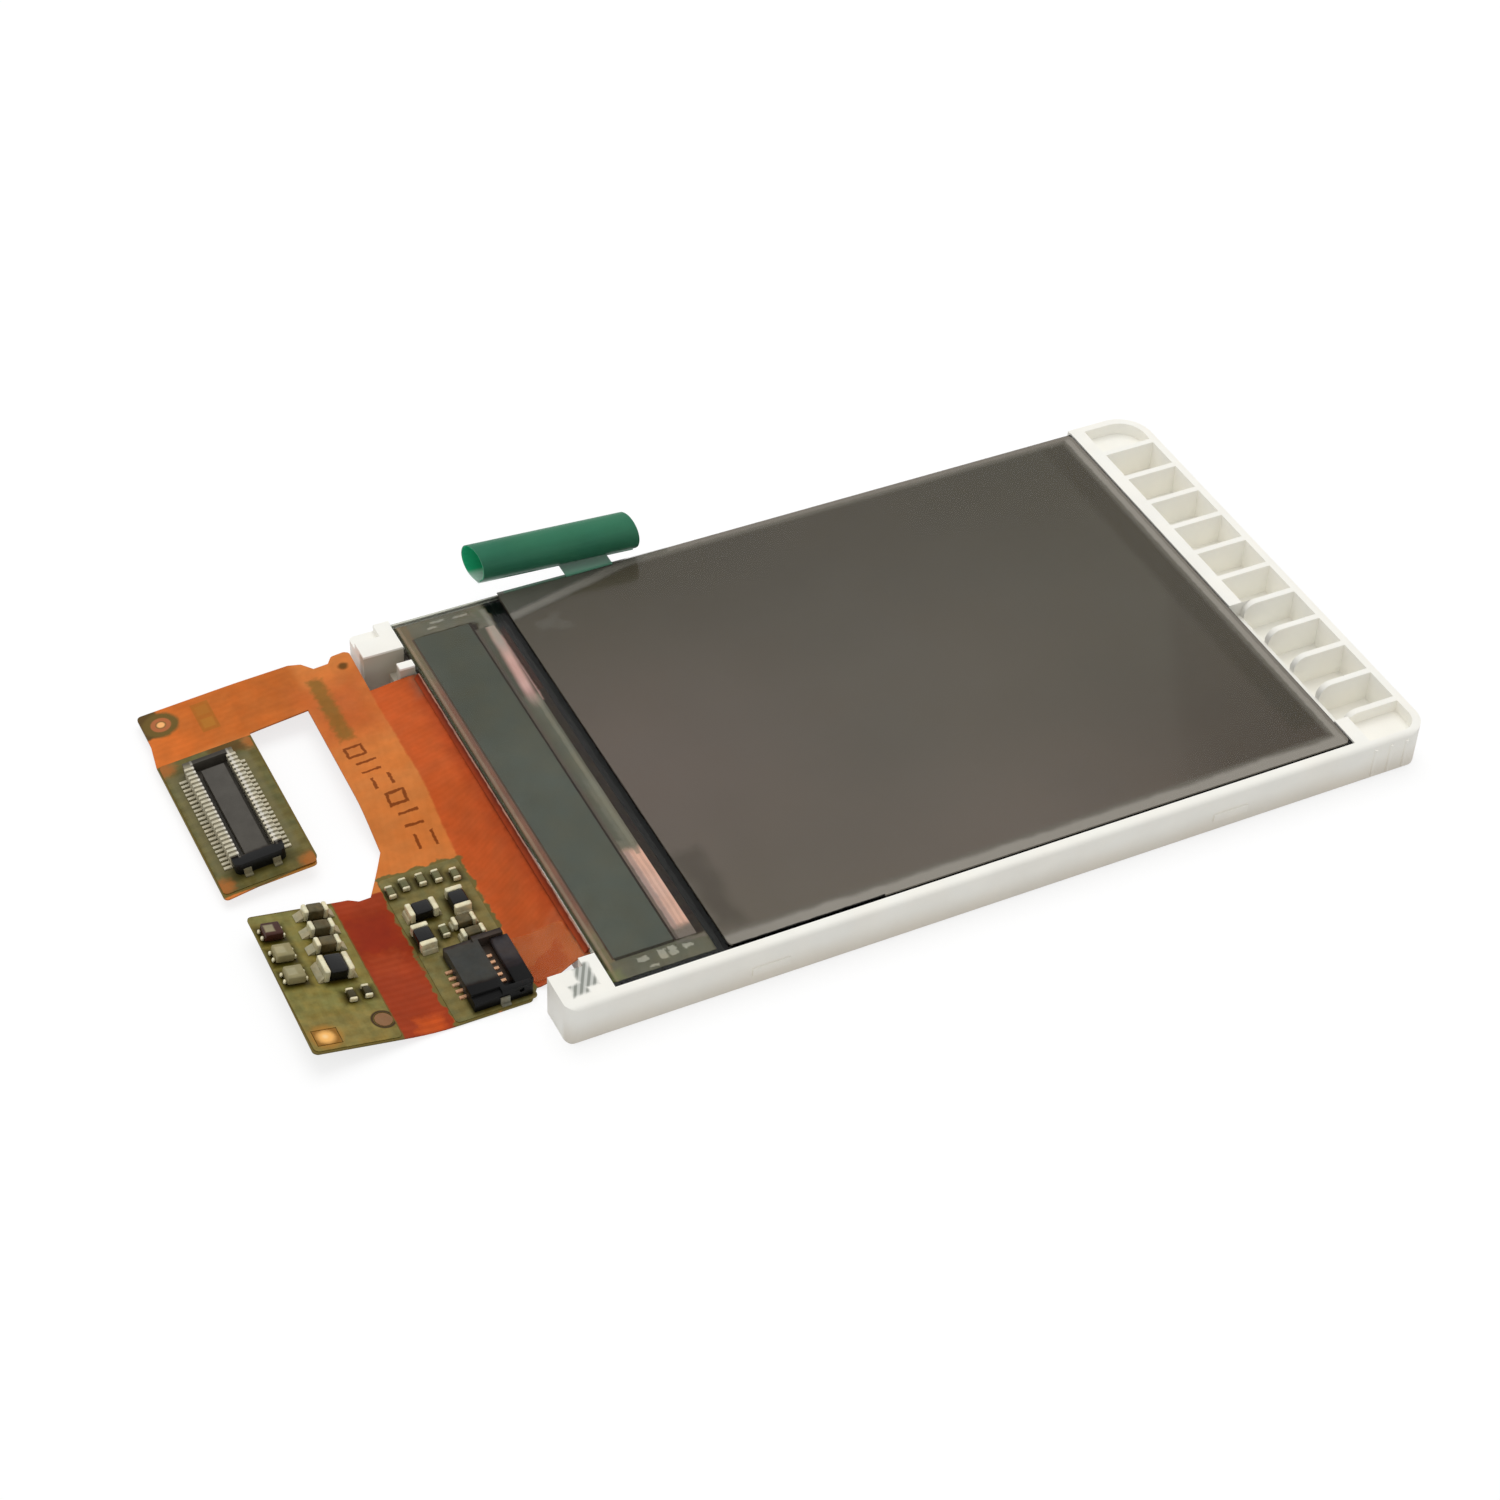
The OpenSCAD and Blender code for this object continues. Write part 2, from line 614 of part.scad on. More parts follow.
module left_coverlay() {
    color("olive") at_datum() difference() {
        area_plate(left_area, flex_t + seat, coverlay_t, area_margin);
        on_area(left_area, gold_at, 0) translate([-gold_size[0] / 2, -gold_size[1] / 2, 0])
            cube([gold_size[0], gold_size[1], 1]);
        on_area(left_area, test_at, 0) cylinder(r = test_r, h = 1);
    }
}

module right_coverlay() {
    color("olive") at_datum() area_plate(right_area, flex_t + seat, coverlay_t, area_margin);
}

module connector_coverlay() {
    color("olive") at_datum() area_plate(conn_area, flex_t + seat, coverlay_t, area_margin);
}

module connector_stiffener() {
    color("goldenrod") at_datum() area_plate(conn_area, -stiffener_t - seat, stiffener_t, area_margin);
}

module gold_pad() {
    color("gold") at_datum() on_area(left_area, gold_at, flex_t + seat)
        translate([-gold_size[0] / 2 + 0.05, -gold_size[1] / 2 + 0.05, 0])
            cube([gold_size[0] - 0.1, gold_size[1] - 0.1, coverlay_t]);
}

module test_pad() {
    color("sienna") at_datum() on_area(left_area, test_at, flex_t + seat) cylinder(r = test_r - 0.05, h = coverlay_t);
}

// Clear tape over the near end of the root, between the near block and the first parts area
module root_tape() {
    color("bisque") at_datum() translate([0, 0, flex_t + 0.03]) intersection() {
        flex_sheet();
        linear_extrude(frame_h + 1) polygon([
            [-0.5, flex_y0 + 0.3], [-0.5, flex_y0 + 3.4], [-right_u0 + 0.1, flex_y0 + 5.2], [-right_u0 + 0.1, flex_y0 + 1.2]
        ]);
    }
}

// ---- Board connector ----
module on_connector() {
    on_area(conn_area, conn_at, pads_z) children();
}

module each_contact() {
    for (side = [0, 180]) rotate(side)
        for (i = [0:contacts_n - 1])
            translate([0, (i - (contacts_n - 1) / 2) * contact_pitch, 0]) children();
}

module connector_housing() {
    slot = contact_w + 0.04;
    inner = conn_w / 2 - conn_wall;
    color("darkslategray") at_datum() on_connector() difference() {
        linear_extrude(conn_h) difference() {
            translate([-conn_w / 2, housing_y0]) square([conn_w, housing_y1 - housing_y0]);
            translate([-conn_w / 2, housing_y0]) corner(conn_corner_r, 180);
            translate([conn_w / 2, housing_y0]) corner(conn_corner_r, 270);
        }
        difference() {
            slab(-inner, groove_y0, inner, groove_y1, groove_floor, conn_h);
            slab(-tongue_w / 2, groove_y0, tongue_w / 2, tongue_y1, 0, tongue_h);
        }
        slab(-conn_w, housing_y0 - 1, conn_w, groove_y0 + eps, tongue_h, conn_h);
        each_contact() {
            translate([inner - strip_t - 0.02, -slot / 2, -1]) cube([strip_t + 0.04, slot, 1 + groove_floor + eps]);
            translate([inner - strip_t, -slot / 2, -1]) cube([conn_wall + strip_t + 1, slot, 1 + strip_t + 0.02]);
        }
    }
}

// Each contact stands in the groove, wraps over the side wall and ends in a tail on the flex
module connector_contacts() {
    inner = conn_w / 2 - conn_wall;
    outer = conn_w / 2 + wrap_t;
    color("lightgray") at_datum() on_connector() each_contact() {
        translate([inner - strip_t, -contact_w / 2, 0]) cube([strip_t - seat, contact_w, conn_h + wrap_t]);
        translate([inner - strip_t, -contact_w / 2, conn_h + seat]) cube([outer - inner + strip_t, contact_w, wrap_t - seat]);
        translate([conn_w / 2 + seat, -contact_w / 2, 0]) cube([wrap_t - seat, contact_w, conn_h + wrap_t]);
        translate([inner - strip_t, -contact_w / 2, 0]) cube([conn_wall + strip_t + tail_len, contact_w, strip_t]);
    }
}

module connector_tabs() {
    color("silver") at_datum() on_connector()
        for (mx = [0, 1], my = [0, 1]) mirror([mx, 0, 0]) mirror([0, my, 0])
            translate([conn_w / 2 - 0.95, (my == 0 ? housing_y1 : -housing_y0) + seat, 0]) {
                cube([0.5, 0.1, 0.45]);
                cube([0.5, 0.35, 0.1]);
            }
}

// ---- Flip-lock flex socket ----
module on_socket() {
    on_area(right_area, socket_at, pads_z) children();
}

module each_socket_contact() {
    for (i = [0:socket_n - 1]) translate([0, (i - (socket_n - 1) / 2) * socket_pitch, 0]) children();
}

module socket_housing() {
    back = -socket_len / 2;
    span = socket_n * socket_pitch + 0.6;
    color("dimgray") at_datum() on_socket() difference() {
        translate([back, -socket_w / 2, 0]) cube([socket_len - 0.15, socket_w, socket_h]);
        // mouth for the cable, then the open space that the latch closes
        translate([back + 0.55, -span / 2, 0.3]) cube([socket_len, span, 0.3]);
        translate([back + plate_len, -socket_w / 2 + cheek_w, 0.3])
            cube([socket_len, socket_w - 2 * cheek_w, socket_h]);
        translate([pivot_x, -socket_w, pivot_z]) rotate([-90, 0, 0]) cylinder(r = pivot_r + pivot_gap, h = 2 * socket_w);
        // lowered corners beside the top plate
        for (side = [-1, 1]) translate([back - 1, side * socket_w / 2 - 0.5, socket_h - 0.25])
            cube([1 + plate_len - 0.3, 1, 1]);
        each_socket_contact() translate([back - 1, -0.13, -1]) cube([1.72, 0.26, 1.32]);
    }
}

module socket_contacts() {
    back = -socket_len / 2;
    color("tan") at_datum() on_socket() each_socket_contact() {
        translate([back - 0.4, -0.1, 0]) cube([1.1, 0.2, 0.12]);
        translate([back + 0.6, -0.1, 0]) cube([0.1, 0.2, 0.42]);
        translate([back + 0.6, -0.1, 0.32]) cube([socket_len - latch_len - 0.95, 0.2, 0.1]);
    }
}

module socket_tabs() {
    color("silver") at_datum() on_socket() for (side = [0, 1]) mirror([0, side, 0])
        translate([-0.3, socket_w / 2 + seat, 0]) {
            cube([0.6, 0.1, 0.55]);
            cube([0.6, 0.3, 0.1]);
        }
}

module socket_latch() {
    half = socket_w / 2 - cheek_w - latch_gap;
    color("darkslategray") at_datum() on_socket() {
        translate([pivot_x, -half, pivot_z]) rotate([-90, 0, 0]) cylinder(r = latch_t / 2, h = 2 * half);
        translate([pivot_x, -half, pivot_z - latch_t / 2]) cube([latch_len, 2 * half, latch_t]);
        translate([pivot_x, -socket_w / 2 + 0.1, pivot_z]) rotate([-90, 0, 0])
            cylinder(r = pivot_r, h = socket_w - 0.2);
    }
}

// ---- Chip parts ----
module chip_body(size) {
    inner = size[0] * (1 - 2 * end_share);
    translate([-inner / 2, -size[1] / 2 + 0.02, 0.02]) cube([inner, size[1] - 0.04, size[2] - 0.04]);
}

module chip_ends(size) {
    cap = size[0] * end_share;
    for (side = [0, 180]) rotate(side)
        translate([size[0] / 2 - cap + seat, -size[1] / 2, 0]) cube([cap - seat, size[1], size[2]]);
}

module on_parts(area, places) {
    for (p = places) on_area(area, p, pads_z, p[2]) children();
}

module capacitor_bodies() {
    color("tan") at_datum() {
        on_parts(left_area, left_caps) chip_body(cap_size);
        on_parts(right_area, right_caps) chip_body(small_cap_size);
    }
}

module capacitor_ends() {
    color("silver") at_datum() {
        on_parts(left_area, left_caps) chip_ends(cap_size);
        on_parts(right_area, right_caps) chip_ends(small_cap_size);
    }
}

module inductor_bodies() {
    color("black") at_datum() {
        on_parts(left_area, left_inductors) chip_body(inductor_size);
        on_parts(right_area, right_inductors) chip_body(small_inductor_size);
    }
}

module inductor_ends() {
    color("silver") at_datum() {
        on_parts(left_area, left_inductors) chip_ends(inductor_size);
        on_parts(right_area, right_inductors) chip_ends(small_inductor_size);
    }
}

module filter_arrays() {
    color("gray") at_datum() on_parts(left_area, left_arrays)
        translate([-array_size[0] / 2, -array_size[1] / 2, 0.02]) cube([array_size[0], array_size[1], array_size[2]]);
}

module array_pins() {
    color("silver") at_datum() on_parts(left_area, left_arrays)
        for (side = [0, 180]) rotate(side) for (i = [-1, 1])
            translate([array_size[0] / 2 + seat, i * 0.3 - 0.12, 0]) cube([0.2, 0.24, 0.3]);
}

module resistor_bodies() {
    color("darkgray") at_datum() {
        on_parts(left_area, left_resistors) chip_body(resistor_size);
        on_parts(right_area, right_resistors) chip_body(resistor_size);
    }
}

module resistor_ends() {
    color("silver") at_datum() {
        on_parts(left_area, left_resistors) chip_ends(resistor_size);
        on_parts(right_area, right_resistors) chip_ends(resistor_size);
    }
}

// Solder beside each end of a chip, sloping away from it
module chip_fillets(size, run) {
    for (side = [0, 180]) rotate(side) translate([size[0] / 2 + seat, size[1] / 2 - 0.05, 0]) rotate([90, 0, 0])
        linear_extrude(size[1] - 0.1) polygon([[0, 0], [run, 0], [run, 0.04], [0.1, 0.35 * size[2]], [0, 0.45 * size[2]]]);
}

module solder_fillets() {
    color("lightgray") at_datum() {
        on_parts(left_area, left_caps) chip_fillets(cap_size, 0.45);
        on_parts(left_area, left_inductors) chip_fillets(inductor_size, 0.3);
        on_parts(right_area, right_inductors) chip_fillets(small_inductor_size, 0.18);
        on_parts(right_area, right_caps) chip_fillets(small_cap_size, 0.15);
    }
}

frame();
reflector_sheet();
light_guide();
diffuser_sheet();
lower_prism_sheet();
upper_prism_sheet();
led_flex();
leds();
rim_tape();
rear_polariser();
filter_glass();
tft_glass();
front_polariser();
protective_film();
pull_tab();
driver_chip();
ledge_cover();
bond_resin();
flex_circuit();
left_coverlay();
right_coverlay();
connector_coverlay();
connector_stiffener();
gold_pad();
test_pad();
root_tape();
connector_housing();
connector_contacts();
connector_tabs();
socket_housing();
socket_contacts();
socket_tabs();
socket_latch();
capacitor_bodies();
capacitor_ends();
inductor_bodies();
inductor_ends();
filter_arrays();
array_pins();
resistor_bodies();
resistor_ends();
solder_fillets();
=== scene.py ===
"""Looks of a handset display module: white backlight frame, glass panel, flex circuit and its parts."""
import math

import bmesh
import bpy
from mathutils import Matrix, Vector


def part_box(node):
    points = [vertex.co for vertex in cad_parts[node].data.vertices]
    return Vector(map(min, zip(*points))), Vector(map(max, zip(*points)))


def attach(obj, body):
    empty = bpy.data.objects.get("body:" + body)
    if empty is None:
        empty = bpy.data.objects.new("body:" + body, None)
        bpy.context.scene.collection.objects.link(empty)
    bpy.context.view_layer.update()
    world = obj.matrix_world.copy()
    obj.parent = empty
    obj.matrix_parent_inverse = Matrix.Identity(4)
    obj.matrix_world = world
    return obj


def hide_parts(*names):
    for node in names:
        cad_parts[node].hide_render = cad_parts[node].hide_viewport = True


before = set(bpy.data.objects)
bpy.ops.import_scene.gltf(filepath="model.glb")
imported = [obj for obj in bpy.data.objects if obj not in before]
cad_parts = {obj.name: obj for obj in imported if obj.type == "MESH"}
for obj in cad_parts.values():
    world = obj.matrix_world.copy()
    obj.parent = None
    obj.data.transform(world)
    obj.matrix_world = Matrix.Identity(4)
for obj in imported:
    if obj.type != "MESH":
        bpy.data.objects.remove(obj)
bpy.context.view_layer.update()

# ---- Measures: millimetres from the near corner of the glass at its flex end, heights from the table ----
MM = 0.001
panel_low, panel_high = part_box("tft_glass")
DATUM = Vector((panel_low.x, panel_low.y, 0))
MERGE = 0.0005 * MM
WHITE = (1, 1, 1, 1)
# Light that a sheen of one adds to a surface
SHEEN = 0.12
# A surface seen through the glass: what it sends back, and the light that the glass adds
UNDER_GLASS = {"specular": 0.02, "gain": 0.85, "haze": 0.022}
# Height of the painted wiring round the driver chip
WIRING_Z = 2.385
# The two edges of the board connector's tongue, across x
TONGUE_EDGES = (-16.02, -13.6)
# Middles of the gold pad and of the copper ring on the flex
GOLD_PAD_AT = (-16.4, 4.55)
RING_AT = (-16.3, 35.0)
# Edges sharper than these angles, in degrees, stay crisp on a bent piece and on a rounded one
BENT_CREASE = 40
ROUNDED_CREASE = 50
# Edges sharper than this are rounded, and faces flatter than that are joined first
ROUND_FROM = 30
JOIN_BELOW = 0.5


def tint(red, green, blue):
    """A colour given as it looks on a screen, 0 to 255."""
    levels = [v / 255 for v in (red, green, blue)]
    return tuple(v / 12.92 if v <= 0.04045 else ((v + 0.055) / 1.055) ** 2.4 for v in levels) + (1.0,)


# ---- Node trees ----
class Graph:
    """Short calls for the nodes of one node tree."""

    def __init__(self, tree):
        self.tree = tree

    def add(self, kind, values=None, **settings):
        node = self.tree.nodes.new(kind)
        for name, value in settings.items():
            setattr(node, name, value)
        for name, value in (values or {}).items():
            self.feed(node.inputs[name], value)
        return node

    def feed(self, socket, value):
        if isinstance(value, bpy.types.NodeSocket):
            self.tree.links.new(value, socket)
        else:
            socket.default_value = value

    def calc(self, operation, *values, clamp=False):
        node = self.add("ShaderNodeMath", operation=operation, use_clamp=clamp)
        for socket, value in zip(node.inputs, values):
            self.feed(socket, value)
        return node.outputs[0]

    def spread(self, value, low, high, to_low=0.0, to_high=1.0):
        """The value eased from one range to another."""
        ranges = {"Value": value, "From Min": low, "From Max": high, "To Min": to_low, "To Max": to_high}
        return self.add("ShaderNodeMapRange", ranges, interpolation_type="SMOOTHSTEP").outputs["Result"]

    def mix(self, share, low, high):
        node = self.add("ShaderNodeMix", data_type="RGBA", clamp_factor=True)
        for index, value in ((0, share), (6, low), (7, high)):
            self.feed(node.inputs[index], value)
        return node.outputs[2]

    def speckle(self, place, scale, detail=2.0, roughness=0.5):
        values = {"Vector": place, "Scale": scale, "Detail": detail, "Roughness": roughness}
        return self.add("ShaderNodeTexNoise", values, noise_dimensions="3D").outputs["Fac"]

    def use(self, group, values=None):
        node = self.add("ShaderNodeGroup", node_tree=group)
        for name, value in (values or {}).items():
            self.feed(node.inputs[name], value)
        return node

    def scaled(self, place, x, y, z):
        node = self.add("ShaderNodeVectorMath", {0: place, 1: (x, y, z)}, operation="MULTIPLY")
        return node.outputs["Vector"]


def shared_effect(name, inputs, outputs):
    """A node group with named sockets: its graph, and its inputs and its outputs by name."""
    tree = bpy.data.node_groups.new(name, "ShaderNodeTree")
    for socket_name, kind, value in inputs:
        socket = tree.interface.new_socket(socket_name, in_out="INPUT", socket_type="NodeSocket" + kind)
        socket.default_value = value
    for socket_name, kind in outputs:
        tree.interface.new_socket(socket_name, in_out="OUTPUT", socket_type="NodeSocket" + kind)
    graph = Graph(tree)
    entry = graph.add("NodeGroupInput")
    leave = graph.add("NodeGroupOutput")
    return graph, entry.outputs, leave.inputs


def datum_place_effect():
    """Where a point of the piece is, in millimetres from the datum."""
    graph, _, out = shared_effect("datum place", [], [("Place", "Vector"), ("X", "Float"), ("Y", "Float"),
                                                      ("Z", "Float")])
    spot = graph.add("ShaderNodeTexCoord").outputs["Object"]
    moved = graph.add("ShaderNodeVectorMath", {0: spot, 1: DATUM}, operation="SUBTRACT").outputs["Vector"]
    place = graph.scaled(moved, 1 / MM, 1 / MM, 1 / MM)
    parts = graph.add("ShaderNodeSeparateXYZ", {0: place})
    graph.feed(out["Place"], place)
    for axis in "XYZ":
        graph.feed(out[axis], parts.outputs[axis])
    return graph.tree


DATUM_PLACE = datum_place_effect()


SIDES = [("Low X", "Float", 0.0), ("High X", "Float", 1.0), ("Low Y", "Float", 0.0),
         ("High Y", "Float", 1.0)]


def patch_effect():
    """Mask of a rectangle seen from above, with soft and wavering edges."""
    looks = [("Soft", "Float", 0.1), ("Waver", "Float", 0.0), ("Waver Scale", "Float", 2.0)]
    graph, given, out = shared_effect("patch", SIDES + looks, [("Mask", "Float")])
    here = graph.use(DATUM_PLACE).outputs
    half_waver = graph.calc("MULTIPLY", given["Waver"], 2.0)
    beyond = []
    for axis, offset in (("X", 0.0), ("Y", 31.0)):
        moved = graph.add("ShaderNodeVectorMath", {0: here["Place"], 1: (offset, offset, 0)})
        noise = graph.speckle(moved.outputs["Vector"], given["Waver Scale"])
        shake = graph.calc("SUBTRACT", noise, 0.5)
        value = graph.calc("MULTIPLY_ADD", shake, half_waver, here[axis])
        before = graph.calc("SUBTRACT", given["Low " + axis], value)
        after = graph.calc("SUBTRACT", value, given["High " + axis])
        beyond.append(graph.calc("MAXIMUM", before, after))
    gap = graph.calc("MAXIMUM", *beyond)
    half = graph.calc("MULTIPLY", given["Soft"], 0.5)
    graph.feed(out["Mask"], graph.spread(gap, half, graph.calc("MULTIPLY", half, -1.0)))
    return graph.tree


def halo_effect():
    """Mask of a plain rectangle seen from above, fading outwards."""
    graph, given, out = shared_effect("halo", SIDES + [("Reach", "Float", 0.4)], [("Mask", "Float")])
    here = graph.use(DATUM_PLACE).outputs
    beyond = []
    for axis in "XY":
        before = graph.calc("SUBTRACT", given["Low " + axis], here[axis])
        after = graph.calc("SUBTRACT", here[axis], given["High " + axis])
        beyond.append(graph.calc("MAXIMUM", before, after))
    graph.feed(out["Mask"], graph.spread(graph.calc("MAXIMUM", *beyond), given["Reach"], 0.0))
    return graph.tree


def spot_effect():
    """Mask of a round spot or a ring seen from above."""
    inputs = [("X", "Float", 0.0), ("Y", "Float", 0.0), ("Radius", "Float", 0.0), ("Width", "Float", 0.5),
              ("Soft", "Float", 0.1), ("Waver", "Float", 0.0)]
    graph, given, out = shared_effect("spot", inputs, [("Mask", "Float")])
    here = graph.use(DATUM_PLACE).outputs
    across = graph.calc("SUBTRACT", here["X"], given["X"])
    along = graph.calc("SUBTRACT", here["Y"], given["Y"])
    reach = graph.calc("SQRT", graph.calc("ADD", graph.calc("MULTIPLY", across, across),
                                          graph.calc("MULTIPLY", along, along)))
    shake = graph.calc("SUBTRACT", graph.speckle(here["Place"], 2.5), 0.5)
    reach = graph.calc("MULTIPLY_ADD", shake, given["Waver"], reach)
    off_ring = graph.calc("ABSOLUTE", graph.calc("SUBTRACT", reach, given["Radius"]))
    gap = graph.calc("SUBTRACT", off_ring, given["Width"])
    half = graph.calc("MULTIPLY", given["Soft"], 0.5)
    graph.feed(out["Mask"], graph.spread(gap, half, graph.calc("MULTIPLY", half, -1.0)))
    return graph.tree


def mottle_effect():
    """A colour that drifts between a little lighter and a little darker."""
    inputs = [("Colour", "Color", WHITE), ("Scale", "Float", 1.0), ("Amount", "Float", 0.1),
              ("Warmth", "Float", 0.0)]
    graph, given, out = shared_effect("mottle", inputs, [("Colour", "Color"), ("Value", "Float")])
    place = graph.use(DATUM_PLACE).outputs["Place"]
    broad = graph.speckle(place, given["Scale"], 3.0, 0.6)
    value = graph.spread(broad, 0.25, 0.75, -1.0, 1.0)
    gain = graph.calc("MULTIPLY_ADD", value, given["Amount"], 1.0)
    moved = graph.add("ShaderNodeVectorMath", {0: place, 1: (17.0, 5.0, 0)}).outputs["Vector"]
    hue = graph.spread(graph.speckle(moved, given["Scale"], 2.0), 0.3, 0.7, -1.0, 1.0)
    lean = graph.calc("MULTIPLY", hue, given["Warmth"])
    red = graph.calc("MULTIPLY", gain, graph.calc("ADD", 1.0, lean))
    blue = graph.calc("MULTIPLY", gain, graph.calc("SUBTRACT", 1.0, lean))
    gains = graph.add("ShaderNodeCombineXYZ", {"X": red, "Y": gain, "Z": blue}).outputs["Vector"]
    tinted = graph.add("ShaderNodeVectorMath", {0: given["Colour"], 1: gains}, operation="MULTIPLY")
    graph.feed(out["Colour"], tinted.outputs["Vector"])
    graph.feed(out["Value"], broad)
    return graph.tree


def grain_effect():
    """Fine unevenness of a moulded or rolled surface, as a height and as a mask of its high places."""
    inputs = [("Scale", "Float", 10.0), ("Stretch X", "Float", 1.0), ("Stretch Y", "Float", 1.0),
              ("Stretch Z", "Float", 1.0)]
    graph, given, out = shared_effect("grain", inputs, [("Height", "Float"), ("Mask", "Float")])
    place = graph.use(DATUM_PLACE).outputs["Place"]
    stretch = graph.add("ShaderNodeCombineXYZ", {axis: given["Stretch " + axis] for axis in "XYZ"})
    laid = graph.add("ShaderNodeVectorMath", {0: place, 1: stretch.outputs["Vector"]}, operation="MULTIPLY")
    height = graph.speckle(laid.outputs["Vector"], given["Scale"], 4.0, 0.6)
    graph.feed(out["Height"], height)
    graph.feed(out["Mask"], graph.spread(height, 0.55, 0.72))
    return graph.tree


def specks_effect():
    """Mask of small scattered specks, such as dust and tiny dents."""
    inputs = [("Spacing", "Float", 2.0), ("Size", "Float", 0.1), ("Share", "Float", 0.3)]
    graph, given, out = shared_effect("specks", inputs, [("Mask", "Float")])
    place = graph.use(DATUM_PLACE).outputs["Place"]
    scale = graph.calc("DIVIDE", 1.0, given["Spacing"])
    cells = graph.add("ShaderNodeTexVoronoi", {"Vector": place, "Scale": scale, "Randomness": 1.0})
    size = graph.calc("DIVIDE", given["Size"], given["Spacing"])
    near = graph.spread(cells.outputs["Distance"], size, graph.calc("MULTIPLY", size, 0.5))
    pick = graph.add("ShaderNodeSeparateColor", {0: cells.outputs["Color"]}).outputs[0]
    kept = graph.calc("LESS_THAN", pick, given["Share"])
    graph.feed(out["Mask"], graph.calc("MULTIPLY", near, kept))
    return graph.tree


def slant_effect():
    """Distance from a slanting line, on its left as one looks along it, in millimetres."""
    inputs = [("X", "Float", 0.0), ("Y", "Float", 0.0), ("Angle", "Float", 0.0), ("Waver", "Float", 0.0)]
    graph, given, out = shared_effect("slant", inputs, [("Distance", "Float")])
    here = graph.use(DATUM_PLACE).outputs
    across = graph.calc("SUBTRACT", here["X"], given["X"])
    along = graph.calc("SUBTRACT", here["Y"], given["Y"])
    rise = graph.calc("MULTIPLY", along, graph.calc("COSINE", given["Angle"]))
    run = graph.calc("MULTIPLY", across, graph.calc("SINE", given["Angle"]))
    shake = graph.calc("SUBTRACT", graph.speckle(here["Place"], 0.8), 0.5)
    distance = graph.calc("SUBTRACT", rise, run)
    graph.feed(out["Distance"], graph.calc("MULTIPLY_ADD", shake, given["Waver"], distance))
    return graph.tree


def tracks_effect():
    """Mask of fine parallel copper tracks that show through a flex circuit."""
    inputs = [("Pitch", "Float", 0.4), ("Share", "Float", 0.5), ("Angle", "Float", 0.0),
              ("Waver", "Float", 0.2)]
    blur = 0.08
    graph, given, out = shared_effect("tracks", inputs, [("Mask", "Float")])
    here = graph.use(DATUM_PLACE).outputs
    rise = graph.calc("MULTIPLY", here["Y"], graph.calc("COSINE", given["Angle"]))
    run = graph.calc("MULTIPLY", here["X"], graph.calc("SINE", given["Angle"]))
    shake = graph.calc("SUBTRACT", graph.speckle(here["Place"], 0.35), 0.5)
    across = graph.calc("MULTIPLY_ADD", shake, given["Waver"], graph.calc("SUBTRACT", rise, run))
    phase = graph.calc("DIVIDE", across, given["Pitch"])
    off_line = graph.calc("ABSOLUTE", graph.calc("SUBTRACT", graph.calc("FRACT", phase), 0.5))
    half = graph.calc("MULTIPLY", given["Share"], 0.5)
    outer = graph.calc("ADD", half, blur)
    inner = graph.calc("SUBTRACT", half, blur)
    graph.feed(out["Mask"], graph.spread(off_line, outer, inner))
    return graph.tree


PATCH = patch_effect()
HALO = halo_effect()
SPOT = spot_effect()
MOTTLE = mottle_effect()
GRAIN = grain_effect()
SPECKS = specks_effect()
SLANT = slant_effect()
TRACKS = tracks_effect()


